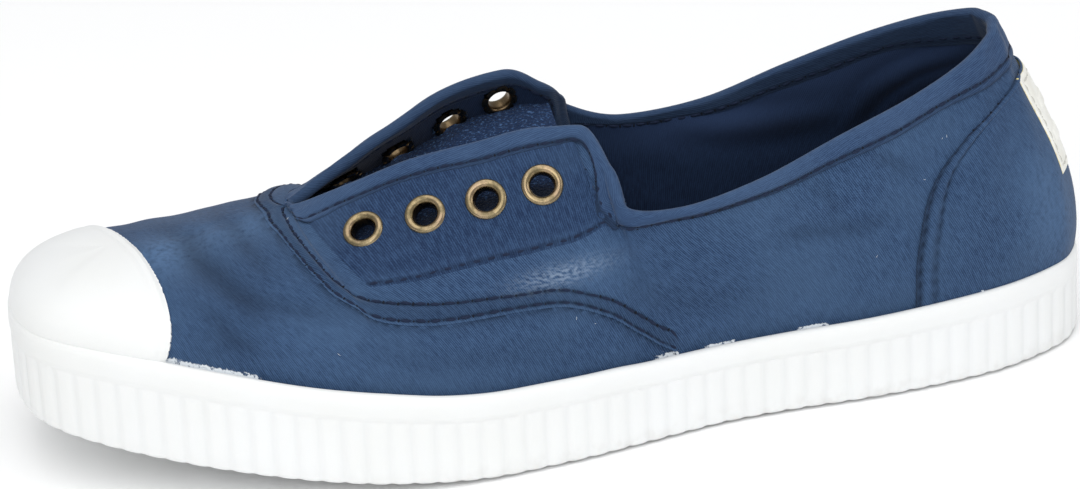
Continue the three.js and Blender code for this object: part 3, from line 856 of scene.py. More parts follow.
def other_side(lines):
    """The same (w, v) points on the other side of the shoe."""
    return np.stack([mirrored(lines[:, 0]), lines[:, 1]], -1)


def on_last(lines):
    """The (w, v) points as places on the last's surface."""
    return place(lines[:, 0], lines[:, 1])


def crease_dip(points, creases, side=1):
    """How deep the cloth sinks at each point, and how much painted shade darkens it there."""
    depth = np.zeros(points.shape[:-1])
    dark = np.zeros(points.shape[:-1])
    for table, deep, wide, dim in creases:
        lines = [flow(part, span(0, len(part) - 1, 8 * (len(part) - 1))) for part in table]
        line = np.vstack(lines)
        w = line[:, 0] if side > 0 else mirrored(line[:, 0])
        route = place(w, line[:, 1])
        far = np.full(points.shape[:-1], 1e9)
        strength = np.zeros(points.shape[:-1])
        for k, spot in enumerate(route):
            away = np.linalg.norm(points - spot, axis=-1)
            taper = math.sin(math.pi * (k + 1) / (len(route) + 1)) ** 0.6
            closer = away < far
            far = np.where(closer, away, far)
            strength = np.where(closer, taper, strength)
        depth += deep * strength * (near(far, 0, wide) - 0.45 * near(far, 2.1 * wide, wide))
        dark += dim * strength * near(far, 0, 0.8 * wide)
    return depth, dark


CHALK_ALONG = 123.5
CHALK_HEIGHT = 43.3
GLUE_TRACES = [
    # from, to, millimetres along; how high it climbs
    (30, 55, 1.5),
    (143, 151, 1.2),
    (155, 166, 0.5),
    (178, 188, 0.7),
    (222, 228, 0.6),
]


def glue_on(points, w):
    """Traces of sole cement just above the sidewall."""
    along = points[..., 1] + LENGTH / 2
    above = points[..., 2] - spring(along) - blend("wall", w)
    trace = np.full(above.shape, 0.16)
    for start, stop, climb in GLUE_TRACES:
        inside = smooth((along - start) / 3) * smooth((stop - along) / 3)
        trace = np.maximum(trace, inside * climb)
    return 0.75 * np.exp(-np.maximum(above, 0) / (0.25 + trace)) * np.minimum(1, 0.4 + trace)


def make_vamp_and_lining(outside, inside):
    """The hollow canvas upper: outer cloth and lining as one wall, open at the throat, collar and foot."""
    stations, heights = 9 * LOOP, 76
    w = span(0, LOOP, stations)[:, None]
    v = span(0, 1, heights)[None, :]
    w, v = np.broadcast_arrays(w, v)
    v = v * under_edge(w, CLOTH_DROP)
    points = place(w, v)
    dip, dark = crease_dip(points, CREASES)
    far_dip, far_dark = crease_dip(points, FAR_FOLDS)
    total = dip + far_dip
    total *= smooth((v - 0.15) / 0.12)
    past = past_quarter_edge(points, w, v)
    lift = -total - QUARTER_BED * smooth(past / 1.2)
    # painted shadow on the vamp just in front of the quarter's edge
    dark = dark + 0.9 * np.exp(np.minimum(past, 0) / 0.8) * (past < 0)
    cloth = cloth_place(w, v)
    piece = laid(
        "canvas_upper",
        skin(w, v, lift),
        cloth,
        shade=dark + far_dark,
        worn=painted_light_patches(points),
        glue=glue_on(points, w),
        lit=smooth((v - 0.6) / 0.3) * smooth((w - 23.5) / 3) * smooth((31.5 - w) / 3),
    )
    cut_eyelet_holes(piece)
    merged(piece)
    piece.data.materials.append(outside)
    piece.data.materials.append(inside)
    thickened(piece, WALL - QUARTER_BED, inner=1)
    return finished(piece, "canvas", stands_for=["upper"], smooth_angle=60)


EYELETS = [
    # section along the stay, height on the lateral and on the medial side
    [8.95, 0.8, 0.82],
    [9.93, 0.77, 0.79],
    [10.88, 0.76, 0.79],
    [11.82, 0.765, 0.84],
]
EYELET_CUT = 3.35  # radius of the hole through the cloth


def eyelet_seats():
    """Name, centre on the last's surface and outward axis of each eyelet."""
    seats = []
    for side in (1, -1):
        for number, (row, lateral, medial) in enumerate(EYELETS, 1):
            w = row if side > 0 else mirrored(row)
            v = lateral if side > 0 else medial
            name = f"eyelet_{'lateral' if side > 0 else 'medial'}_{number}"
            seats.append((name, place(w, v), normal(w, v)))
    return seats


def cut_eyelet_holes(piece):
    """Removes the cells under each eyelet's flange."""
    count = len(piece.data.vertices)
    co = np.zeros(3 * count)
    piece.data.vertices.foreach_get("co", co)
    co = co.reshape(-1, 3) / MM
    doomed = np.zeros(count, bool)
    for _, centre, axis in eyelet_seats():
        away = co - centre
        height = away @ axis
        radius = np.linalg.norm(away - height[:, None] * axis, axis=1)
        doomed |= (radius < EYELET_CUT) & (np.abs(height) < 6)
    only(piece)
    bpy.ops.object.mode_set(mode="EDIT")
    bpy.ops.mesh.select_all(action="DESELECT")
    bpy.ops.object.mode_set(mode="OBJECT")
    piece.data.vertices.foreach_set("select", doomed)
    bpy.ops.object.mode_set(mode="EDIT")
    bpy.ops.mesh.delete(type="VERT")
    bpy.ops.object.mode_set(mode="OBJECT")


CLOTH_DROP = 0.9  # the cloth's own edge lies this far inside the binding's fold
BINDING_DROP = 1.1
QUARTER_BED = 0.55  # how far the wall sinks where the quarter lies over it
QUARTER_LIFT = 0.12
QUARTER_STEP = 0.33  # the quarter's front edge stands this much prouder
STAY_LIFT = 0.42
BINDING_LIFT = 0.85
PANEL_CLOTH = 0.45  # thickness of the quarters and the binding
STAY_CLOTH = 0.5
HEEL_CLOTH = 0.4


def quarter_lines(side):
    """The quarter's front and lower edge, and the points of the top edge that face them."""
    foot_row, _, top_row = QUARTER_EDGE[-1]
    foot = [
        [foot_row + (LAST - foot_row) * k / 7, QUARTER_FOOT, top_row + (LAST - top_row) * k / 7]
        for k in range(1, 8)
    ]
    table = QUARTER_EDGE + foot
    if side < 0:
        front = [[w, *rest] for w, (_, *rest) in zip(MEDIAL_FRONT, table)]
        table = front + table[len(MEDIAL_FRONT) :]
    at = span(0, len(table) - 1, 380)
    line = flow(table, at)
    edge = np.stack([line[:, 0], line[:, 1]], -1)
    top = np.stack([line[:, 2], under_edge(line[:, 2], CLOTH_DROP)], -1)
    if side < 0:
        return other_side(edge), other_side(top)
    return edge, top


def past_quarter_edge(points, w, v):
    """Millimetres past the quarter's front edge, negative in front of it."""
    far = np.full(w.shape, 1e9)
    past = np.zeros(w.shape, bool)
    row = section_of(w)
    for side in (1, -1):
        edge, _ = quarter_lines(side)
        for spot in place(edge[:, 0], edge[:, 1]):
            far = np.minimum(far, np.linalg.norm(points - spot, axis=-1))
        this_side = (np.mod(w, LOOP) <= LAST) == (side > 0)
        front = section_of(edge[:, 0])
        behind = row > np.interp(v, edge[::-1, 1], front[::-1])
        above = (row > 6.9) & (v > np.interp(row, np.maximum.accumulate(front), edge[:, 1]))
        past |= this_side & np.where(v > 0.5, behind, above)
    return np.where(past, far, -far)


def puckered(along):
    """1 at the ends of each stitch of a row and 0 at its middle."""
    return 0.5 + 0.5 * np.cos(2 * math.pi * along / STITCH_PITCH)


def band_rows(edge):
    """How far the two stitch rows run from the quarter's edge."""
    second = read_off(BAND_WIDTH, section_of(edge[:, 0]))
    return np.full(len(second), BAND_STITCH), second


def make_quarter(side, cloth_material):
    """The panel behind the vamp, its folded front edge sewn down with two rows."""
    edge, top = quarter_lines(side)
    share = span(0, 1, 64)
    share = 0.3 * share + 0.7 * share**2
    lines = between(edge, top, share)
    w, v = lines[..., 0], lines[..., 1]
    base = place(w, v)
    from_edge = run_length(base, axis=1)
    on_band = smooth((edge[:, 1] - 0.1) / 0.05)[:, None]
    length_along = run_length(base[:, 0])[:, None]
    pucker = puckered(length_along)
    puff = np.zeros(w.shape)
    shade = np.zeros(w.shape)
    first_row, second_row = band_rows(edge)
    middle = ((first_row + second_row) / 2)[:, None]
    for row in (first_row, second_row):
        trough = near(from_edge, row[:, None], 0.45)
        puff -= 0.3 * trough * (0.7 + 0.3 * pucker)
        shade += 0.9 * trough * (0.5 + 0.5 * pucker)
    puff += 0.4 * near(from_edge, middle, 1.4)
    shade += 0.35 * near(from_edge, middle, 2.2)
    edge_round = 0.25 * np.exp(-from_edge / 0.35)
    fades = smooth((v - 0.15) / 0.08)
    dip, dark = crease_dip(base, QUARTER_CREASES, side)
    step = QUARTER_STEP * np.exp(-((from_edge / 9) ** 2))
    lift = QUARTER_LIFT + (puff * on_band + step - edge_round) * fades - dip
    t = base[..., 1] + LENGTH / 2 - CHALK_ALONG
    chalk = near(t, 0, 10) * near(base[..., 2], CHALK_HEIGHT + 0.1 * t, 2.1) * (side > 0)
    name = "quarter_lateral" if side > 0 else "quarter_medial"
    piece = laid(
        name,
        skin(w, v, lift),
        cloth_place(w, v),
        shade=shade * fades * on_band + dark,
        worn=0.22 * near(from_edge, 0.3, 0.4) * on_band + painted_light_patches(base),
        chalk=chalk,
        glue=glue_on(base, w),
    )
    cut_eyelet_holes(piece)
    merged(piece)
    if side < 0:
        flip(piece)
    thickened(piece, PANEL_CLOTH)
    return finished(piece, "canvas", cloth_material, smooth_angle=60)


def stay_lines(side):
    """The stay's lower edge and, above it, a line under the binding."""
    low = flow(STAY_STITCH, span(0, len(STAY_STITCH) - 1, 150))
    high = np.stack([read_off(STAY_TOP_SECTION, low[:, 0]), read_off(STAY_TOP_HEIGHT, low[:, 0])], -1)
    if side < 0:
        return other_side(low), other_side(high)
    return low, high


def make_stay(side, cloth_material):
    """The facing that carries the eyelets, sewn along its lower edge."""
    low, high = stay_lines(side)
    share = span(0, 1, 44)
    lines = between(low, high, share)
    w, v = lines[..., 0], lines[..., 1]
    base = place(w, v)
    from_low = run_length(base, axis=1)
    along = run_length(base[:, 20])[:, None]
    ends = smooth(along / 1.2) * smooth((along[-1] - along) / 1.2)
    soft = smooth(from_low / 1.6) * ends
    lift = QUARTER_LIFT + 0.1 + (STAY_LIFT - 0.1) * soft
    dashes = 0.5 + 0.5 * np.cos(2 * math.pi * along / STITCH_PITCH) ** 2
    piece = laid(
        "stay_lateral" if side > 0 else "stay_medial",
        skin(w, v, lift),
        cloth_place(w, v) + np.array([3.0, 1.0]),
        shade=0.8 * near(from_low, 1.0, 0.45) * dashes,
        worn=0.15 * near(from_low, 2.0, 1.0),
    )
    cut_eyelet_holes(piece)
    if side < 0:
        flip(piece)
    thickened(piece, STAY_CLOTH)
    return finished(piece, "canvas", cloth_material, smooth_angle=60)


def binding_lines(side):
    """The edge that the binding folds over, and its stitch line below."""
    line = flow(BINDING, span(0, len(BINDING) - 1, 420))
    edge = np.stack([line[:, 0], under_edge(line[:, 0], BINDING_DROP)], -1)
    stitch = line[:, 1:3].copy()
    if side < 0:
        return other_side(edge), other_side(stitch)
    return edge, stitch


BINDING_FOLD = 1.32  # the fold lies this much further down than the stitches


def make_binding(side, cloth_material):
    """The folded strip over the edge of the throat, stay and collar."""
    edge, stitch = binding_lines(side)
    fold_share = BINDING_FOLD - 0.16 * near(section_of(edge[:, 0]), 14.4, 1.0)
    fold = edge + (stitch - edge) * fold_share[:, None]
    legs = 14
    share = span(0, 1, legs)
    lines = between(fold, edge, share)
    base = place(lines[..., 0], lines[..., 1])
    from_fold = run_length(base, axis=1)
    total = from_fold[:, -1:]
    at_stitch = total * (1 - 1 / fold_share[:, None])
    groove = near(from_fold, at_stitch, 0.5)
    out = BINDING_LIFT - 0.32 * groove - 0.3 * np.exp(-from_fold / 0.35)
    out = out + 0.15 * near(from_fold, 0.62 * total, 1.6)
    outer = skin(lines[..., 0], lines[..., 1], out)
    inner_lift = -(WALL + 0.25) + 0.25 * groove + 0.2 * np.exp(-from_fold / 0.35)
    inner = skin(lines[..., 0], lines[..., 1], inner_lift)[:, ::-1]
    rim = place(edge[:, 0], edge[:, 1])
    n = normal(edge[:, 0], 0.985)
    tangent = unit(np.gradient(rim, axis=0))
    up = unit(np.cross(tangent, n)) * (-1 if side > 0 else 1)
    middle = (BINDING_LIFT - WALL - 0.25) / 2
    radius = (BINDING_LIFT + WALL + 0.25) / 2
    angles = span(0, math.pi, 10)[1:-1]
    over = np.stack(
        [rim + n * (middle + radius * math.cos(a)) + up * (0.75 * radius * math.sin(a)) for a in angles], 1
    )
    points = np.concatenate([outer, over, inner], axis=1)
    u = run_length(rim)[:, None]
    cross = run_length(points, axis=1)
    cloth = np.stack([np.broadcast_to(u, cross.shape), cross], -1)
    far = side < 0
    pad = np.full((len(edge), points.shape[1] - outer.shape[1]), 0.4 if far else 0.1)
    pad[:, 8:] = 0.6 if far else 0.42
    pad[:, -legs:] += 0.5 * groove[:, ::-1][:, :legs]
    shade = np.concatenate([0.85 * groove + 0.8 * np.exp(-from_fold / 0.5), pad], 1)
    worn = 0.2 * near(cross, cross[:, legs + 1][:, None] + 1.0, 1.1)
    piece = laid("binding_lateral" if side > 0 else "binding_medial", points, cloth, shade=shade, worn=worn)
    if side < 0:
        flip(piece)
    thickened(piece, PANEL_CLOTH)
    return finished(piece, "canvas", cloth_material, smooth_angle=60)


def heel_lines():
    """The heel panel's two edges, lateral and medial."""
    line = flow(HEEL_EDGE, span(0, len(HEEL_EDGE) - 1, 110))
    return line, other_side(line)


def make_heel_stay(cloth_material):
    """The panel over the back seam, narrowing towards the label."""
    line, other = heel_lines()
    share = span(0, 1, 150)
    lines = between(line, other, share)
    w, v = lines[..., 0], lines[..., 1]
    base = place(w, v)
    across = run_length(base, axis=1)
    from_edge = np.minimum(across, across[:, -1:] - across)
    trough = near(from_edge, HEEL_STITCH, 0.65) + near(from_edge, HEEL_STITCH + HEEL_ROWS_APART, 0.65)
    pucker = puckered(run_length(base[:, 0])[:, None])
    trough = trough * (0.55 + 0.45 * pucker)
    swell = near(from_edge, HEEL_STITCH + HEEL_ROWS_APART / 2, 1.1)
    lift = QUARTER_LIFT + 0.42 - 0.4 * trough + 0.25 * swell - 0.25 * np.exp(-from_edge / 0.35)
    piece = laid(
        "heel_stay",
        skin(w, v, lift),
        cloth_place(w, v),
        shade=0.95 * trough + 0.6 * np.exp(-from_edge / 0.4),
        worn=painted_light_patches(base),
        glue=glue_on(base, w),
    )
    thickened(piece, HEEL_CLOTH)
    return finished(piece, "canvas", cloth_material, smooth_angle=60)


# ---- Stitches ----
STITCH_PITCH = 3.3
STITCH_LENGTH = 2.5
STITCH_WIDTH = 0.8
STITCH_HEIGHT = 0.6


def stitch_seed():
    """One stitch at the origin, lying along X; sewn also shrinks it into the needle hole at the stitch's
    end.
    """
    bpy.ops.object.select_all(action="DESELECT")
    bpy.ops.mesh.primitive_uv_sphere_add(segments=10, ring_count=6, radius=0.5)
    seed = bpy.context.active_object
    co = np.zeros(3 * len(seed.data.vertices))
    seed.data.vertices.foreach_get("co", co)
    co = co.reshape(-1, 3)[:, [2, 0, 1]]
    body = co * np.array([STITCH_LENGTH, STITCH_WIDTH, STITCH_HEIGHT])
    body[:, 2] -= 0.16 * (2 * body[:, 0] / STITCH_LENGTH) ** 2  # the ends dive into the cloth
    faces = [tuple(p.vertices) for p in seed.data.polygons]
    bpy.data.objects.remove(seed)
    return body, faces


def sewn(name, rows, thread, hole, slot="canvas"):
    """Rows of stitches as one joined piece. Each row: its points, and the outward normals there."""
    rng = np.random.default_rng(len(name))
    seed, faces = stitch_seed()
    vertices, polygons, holes = [], [], []
    for points, normals in rows:
        length = run_length(points)
        count = int(length[-1] // STITCH_PITCH)
        for k in range(count):
            s = (k + 0.5) * length[-1] / count
            centre = np.array([np.interp(s, length, points[:, a]) for a in range(3)])
            ahead = np.array([np.interp(s + 0.6, length, points[:, a]) for a in range(3)])
            behind = np.array([np.interp(s - 0.6, length, points[:, a]) for a in range(3)])
            n = unit(np.array([np.interp(s, length, normals[:, a]) for a in range(3)]))
            t = unit(ahead - behind)
            b = np.cross(n, t)
            centre = centre + b * rng.uniform(-0.13, 0.13) + n * rng.uniform(-0.08, 0.05)
            t = unit(t + b * rng.uniform(-0.1, 0.1))
            b = np.cross(n, t)
            basis = np.stack([t, b, n])
            # the second shape is the needle hole; on the canvas rows its finish is near-black, painted
            # shade in the hole
            for shape, dark in ((seed, False), (seed * np.array([0.26, 1.25, 0.7]), True)):
                offset = centre + (t * STITCH_PITCH / 2 - n * 0.14 if dark else 0)
                start = sum(len(x) for x in vertices)
                vertices.append(shape @ basis + offset)
                polygons += [tuple(i + start for i in face) for face in faces]
                holes += [1 if dark else 0] * len(faces)
    piece = joined(name, np.vstack(vertices), polygons)
    piece.data.materials.append(thread)
    piece.data.materials.append(hole)
    piece.data.polygons.foreach_set("material_index", holes)
    piece.data.update()
    outward(piece)
    return finished(piece, slot)


def row_on(lines, lift, inside=False):
    """A stitch row along (w, v) points, lift millimetres out."""
    n = normal(lines[:, 0], np.minimum(lines[:, 1], 0.98))
    points = place(lines[:, 0], lines[:, 1]) + n * (lift + waviness(lines[:, 0], lines[:, 1]))[:, None]
    return points, -n if inside else n


def shifted(lines, towards, distance):
    """The (w, v) points distance millimetres from lines on the way to towards."""
    gap = np.linalg.norm(on_last(towards) - on_last(lines), axis=-1)
    part = 0.02
    little = lines + (towards - lines) * part
    step = np.linalg.norm(on_last(little) - on_last(lines), axis=-1) / part
    share = distance / np.maximum(np.minimum(step, 3 * gap), 1e-6)
    return lines + (towards - lines) * share[:, None]


def make_stitches(thread, hole):
    """The rows of the bands, the stays, the collar's binding and the heel panel."""
    for side, word in ((1, "lateral"), (-1, "medial")):
        edge, top = quarter_lines(side)
        seen = edge[:, 1] > SEWN_ABOVE
        edge, top = edge[seen], top[seen]
        band = [row_on(shifted(edge, top, d), QUARTER_LIFT + 0.22) for d in band_rows(edge)]
        sewn(f"band_stitches_{word}", band, thread, hole)
        low, high = stay_lines(side)
        sewn(f"stay_stitches_{word}", [row_on(shifted(low, high, 1.0), QUARTER_LIFT + 0.2)], thread, hole)
        _, stitch = binding_lines(side)
        outer = row_on(stitch, BINDING_LIFT - 0.22)
        inner = row_on(stitch, -(WALL + 0.05), inside=True)
        sewn(f"binding_stitches_{word}", [outer, inner], thread, hole)
    line, other = heel_lines()
    rows = []
    for first, second in ((line, other), (other, line)):
        for distance in (HEEL_STITCH, HEEL_STITCH + HEEL_ROWS_APART):
            route = shifted(first, second, distance)
            stop = len(route) - (0 if distance == HEEL_STITCH else 8)
            rows.append(row_on(route[:stop], QUARTER_LIFT + 0.3))
    sewn("heel_stitches", rows, thread, hole)


# ---- Rubber ----
RIB_PITCH = 5.1
RIB_DEPTH = 0.42
SIDEWALL = [
    # out from the upper's foot, share of the sidewall's height, share of the ribs' depth
    [0.0, 0.06, 0],
    [0.6, 0.035, 0],
    [2.2, 0.03, 0],
    [2.75, 0.045, 0.5],
    [3.0, 0.08, 1],
    [3.05, 0.2, 1],
    [3.05, 0.36, 1],
    [3.05, 0.52, 1],
    [3.03, 0.66, 1],
    [3.0, 0.7, 0.7],
    [2.78, 0.722, 0],
    [3.1, 0.745, 0],
    [3.28, 0.79, 0],
    [3.3, 0.86, 0],
    [3.12, 0.93, 0],
    [2.6, 0.98, 0],
    [1.8, 1.0, 0],
    [0.9, 0.995, 0],
    [0.0, 0.965, 0],
]


def make_foxing(rubber):
    """The sidewall: upright ribs below, a smooth rolled band above."""
    girth = run_length(place(ROUND, 0.05))
    ribs = round(girth[-1] / RIB_PITCH)
    stations = 9 * ribs
    at = span(0, girth[-1], stations)
    w = np.interp(at, girth, ROUND)
    turn = 2 * math.pi * ribs * at / girth[-1]
    valley = np.clip(0.5 - 0.5 * np.cos(turn), 0, 1) ** 3
    ring, grooves = [], []
    scallop = 0.25 * (1 - valley)
    row = section_of(w)
    slim = 1 - 0.38 * near(row, 0, 2.4) - 0.6 * near(row, LAST, 3.2)
    for out, share, ribbed in SIDEWALL + [SIDEWALL[0]]:
        depth = out * slim - RIB_DEPTH * ribbed * valley
        x, along = outline(w, FOXING_THICKNESS - depth)
        z = spring(along) + share * blend("wall", w) + (0.25 - scallop if share < 0.07 else 0)
        ring.append(np.stack([x - MIDDLE, along - LENGTH / 2, z], -1))
        # how deep each point lies in a rib valley, for the painted shade there
        grooves.append(ribbed * valley)
    points = np.stack(ring, 1)
    points[..., 2] = np.maximum(points[..., 2], 0.02)
    piece = merged(laid("ribbed_foxing", points, groove=np.stack(grooves, 1)), 0.004)
    outward(piece)
    return finished(piece, "rubber", rubber, stands_for=["foxing"], smooth_angle=60)


CAP_EDGE = (30.2, 0.24, 0.36)  # along at the ridge, and how it moves back per millimetre out and up
CAP_RIDGE = 47  # height of the ridge at the cap's edge
CAP_THICKNESS = 1.5  # how far its outer face stands off the upper
CAP_WALL = 1.1  # thickness of the rubber itself


def make_toe_cap(rubber):
    """The rubber cap: the toe's surface moved out, cut off behind, with a rolled rear edge."""
    w = span(-6.5, 6.5, 260)[:, None]
    v = span(0.1, 1, 110)[None, :]
    w, v = np.broadcast_arrays(w, v)
    base = place(w, v)
    edge_along, per_out, per_up = CAP_EDGE
    behind = edge_along + per_out * (base[..., 0] + MIDDLE) + per_up * (base[..., 2] - CAP_RIDGE)
    from_edge = behind - (base[..., 1] + LENGTH / 2)
    lift = GAP + CAP_THICKNESS - 0.3 * near(from_edge, 1.7, 0.7)
    lift = lift - 0.9 * np.exp(-np.maximum(from_edge, 0) / 0.35)
    piece = merged(laid("rubber_toe_cap", skin(w, v, lift, wavy=0)))
    slope = Vector((-per_out, 1, -per_up)).normalized()
    ridge = Vector((-MIDDLE, edge_along - LENGTH / 2, CAP_RIDGE)) * MM
    edited(piece, bpy.ops.mesh.bisect, plane_co=ridge, plane_no=slope, clear_outer=True)
    thickened(piece, CAP_WALL)
    return finished(piece, "rubber", rubber, stands_for=["toe_cap"], smooth_angle=60)


PATCH_WIDTH = 22.0
PATCH_LOW = 41.5
PATCH_HIGH = 67.0
LABEL_THICKNESS = 0.8
LABEL_BARS = (50.0, 58.5)  # heights of the raised bars
LABEL_STITCH = 1.9  # the stitches' distance from the label's edge


def back_places(x, z):
    """(w, v) of the points of the heel's surface that lie at x and z."""
    w = LAST - x / 8
    v = 0.14 + 0.86 * (z - 21) / 59
    for _ in range(12):  # each round comes closer
        here = place(w, v)
        step = 0.01
        dw = (place(w + step, v) - here) / step
        dv = (place(w, v + step) - here) / step
        off_x, off_z = x - MIDDLE - here[..., 0], z - here[..., 2]
        size = dw[..., 0] * dv[..., 2] - dv[..., 0] * dw[..., 2]
        w = w + (off_x * dv[..., 2] - dv[..., 0] * off_z) / size
        v = v + (dw[..., 0] * off_z - dw[..., 2] * off_x) / size
    return w, v


def make_patch(label, thread, hole):
    """The label over the back seam, with two plain raised bars and a yellowed, frayed edge."""
    x = span(PATCH_WIDTH / 2, -PATCH_WIDTH / 2, 90)[:, None]
    z = span(PATCH_LOW, PATCH_HIGH, 104)[None, :]
    x, z = np.broadcast_arrays(x, z)
    half = PATCH_WIDTH / 2
    from_side = half - np.abs(x)
    from_end = np.minimum(z - PATCH_LOW, PATCH_HIGH - z)
    border = np.minimum(from_side, from_end)
    w, v = back_places(x, z)
    bars = sum(smooth((1.7 - np.abs(z - height)) / 0.5) for height in LABEL_BARS)
    bars = bars * smooth((half - 4 - np.abs(x)) / 0.6)
    rng = np.random.default_rng(5)
    ragged = 0.18 * rng.random(x.shape) * np.exp(-border / 0.5)
    edge_round = 0.75 * np.exp(-border / 0.3)
    sewn_in = 0.2 * near(border, LABEL_STITCH, 0.35)
    lift = QUARTER_LIFT + 1.15 + 0.35 * bars - edge_round - sewn_in + ragged
    piece = laid("heel_label", skin(w, v, lift), edge=np.exp(-border / 0.45))
    thickened(piece, LABEL_THICKNESS)
    finished(piece, "patch", label, stands_for=["heel_patch"], smooth_angle=50)
    side = half - LABEL_STITCH
    low, high = PATCH_LOW + LABEL_STITCH, PATCH_HIGH - LABEL_STITCH
    corners = [(side, low), (side, high), (-side, high), (-side, low)]
    rows = []
    for (x0, z0), (x1, z1) in zip(corners, corners[1:] + corners[:1]):
        xs, zs = span(x0, x1, 30), span(z0, z1, 30)
        ws, vs = back_places(xs, zs)
        rows.append(row_on(np.stack([ws, vs], -1), QUARTER_LIFT + 1.0))
    sewn("label_stitches", rows, thread, hole, slot="patch")


# ---- Elastic ----
GUSSET_ROWS = (8.25, 13.15)  # its first and last section
GUSSET_MEDIAL = [[8.25, 0.72], [10.5, 0.71], [12.0, 0.75], [13.15, 0.86]]  # section, height of the far edge
GUSSET_CELLS = (150, 168)  # along and across
GUSSET_THICKNESS = 1.3
LOOP_HEIGHT = 0.09  # of the terry's loops


def make_gusset(elastic):
    """The elastic web between the stays, its terry face made of small loops."""
    along, across = GUSSET_CELLS
    row = span(*GUSSET_ROWS, along)
    inside = np.full(len(row), -(WALL + 0.15))
    lateral = skin(row, np.interp(row, GUSSET_ROWS, (0.7, 0.66)), inside)
    medial = skin(mirrored(row), read_off(GUSSET_MEDIAL, row), inside)
    share = span(0, 1, across)[None, :, None]
    points = lateral[:, None] * (1 - share) + medial[:, None] * share
    bow = np.sin(math.pi * share[..., 0])
    points[..., 2] += 1.2 * bow
    points[..., 1] += 0.8 * bow * np.interp(row, GUSSET_ROWS, (0, -1))[:, None] * 2
    rng = np.random.default_rng(11)
    loops = rng.random(points.shape[:2])
    from_end = np.minimum(np.arange(along + 1), along - np.arange(along + 1))
    points[..., 2] += LOOP_HEIGHT * (loops * smooth(from_end / 5)[:, None])
    # painted shade where the lateral stay covers the elastic
    shade_under_stay = smooth((0.24 - share[..., 0]) / 0.1)
    piece = laid("elastic_web", points, shade=shade_under_stay)
    flip(piece)
    thickened(piece, GUSSET_THICKNESS)
    return finished(piece, "elastic", elastic, stands_for=["elastic_gusset"], smooth_angle=80)


# ---- Eyelets ----
EYELET_FRONT = [
    # radius, height over the cloth
    [2.72, -1.6],
    [2.72, -0.4],
    [2.85, 0.1],
    [3.12, 0.42],
    [3.5, 0.66],
    [3.95, 0.72],
    [4.4, 0.58],
    [4.68, 0.28],
    [4.8, -0.02],
    [4.5, -0.2],
    [3.15, -0.2],
    [3.15, -1.6],
]
EYELET_BACK = [
    # radius, height behind the cloth, share of the petals' opening
    [3.15, -0.1, 0],
    [3.6, 0.35, 0.6],
    [4.35, 0.55, 1],
    [4.4, 0.85, 1],
    [3.7, 1.05, 0.6],
    [3.0, 0.9, 0],
    [2.72, 0.5, 0],
]
PETALS = 8


def make_eyelet(name, centre, axis, brass):
    """One eyelet: a rolled rim in front, a barrel, and split petals clenched behind."""
    segments = 64
    angle = span(0, 2 * math.pi, segments)
    ring = []
    cloth_top, cloth_back = QUARTER_LIFT + STAY_LIFT - 0.1, -(WALL + 0.15)
    for radius, height in EYELET_FRONT[:-1]:
        ring.append((radius + 0 * angle, height + cloth_top + 0 * angle))
    phase = np.mod(angle * PETALS / (2 * math.pi), 1)
    split = smooth((0.5 - np.abs(phase - 0.5)) / 0.16)
    wobble = 0.12 * np.sin(3 * angle + len(name))
    for radius, drop, open_share in EYELET_BACK:
        shrink = (radius - 3.05) * open_share * (1 - split)
        ring.append((radius - shrink + wobble * open_share, cloth_back - drop + 0 * angle))
    ring.append(ring[0])  # the section closes on itself
    side = unit(np.cross(axis, np.array([0.0, 1.0, 0.3])))
    other = np.cross(axis, side)
    points = np.stack(
        [
            centre
            + radius[:, None] * (np.cos(angle)[:, None] * side + np.sin(angle)[:, None] * other)
            + height[:, None] * axis
            for radius, height in ring
        ],
        1,
    )
    front = len(EYELET_FRONT) - 1
    # painted shade: the clenched petals fully, the first two rows inside the barrel nearly as much
    dull = np.where(np.arange(len(ring)) >= front, 1.0, 0.0)
    dull[:2] = 0.85
    piece = outward(merged(laid(name + "_brass", points, dull=dull[None, :]), 0.003))
    return finished(piece, "brass", brass, stands_for=[name], smooth_angle=50)


# ---- Inside and under ----
PAD_THICKNESS = 3.0


def make_insole(lining):
    """The foot-bed: a cloth-covered pad with a softly raised rim."""
    inset = UPPER_INSET + WALL + 0.5
    w = span(0, LAST, 200)
    lx, la = outline(w, inset)
    mx, ma = outline(mirrored(w), inset)
    share = span(0, 1, 40)[None, :]
    x = lx[:, None] * (1 - share) + mx[:, None] * share
    along = la[:, None] * (1 - share) + ma[:, None] * share
    edge = np.minimum(share, 1 - share) * np.abs(lx - mx)[:, None]
    cup = 1.6 * np.exp(-edge / 5) + 0.3 * np.sin(x / 9) * np.cos(along / 14)
    z = sole_top(along) + GAP + INSOLE_THICKNESS + cup - 0.3
    points = np.stack([x - MIDDLE, along - LENGTH / 2, z], -1)
    piece = laid("foot_bed", points, np.stack([x, along], -1))
    flip(piece)
    thickened(piece, PAD_THICKNESS)
    return finished(piece, "lining", lining, stands_for=["insole"], smooth_angle=60)


SPECKS = [(11.95, 0.315), (12.45, 0.29), (7.0, 0.92)]  # section and height of the first few
FIBRES = 12
FIBRE_RADIUS = 0.05


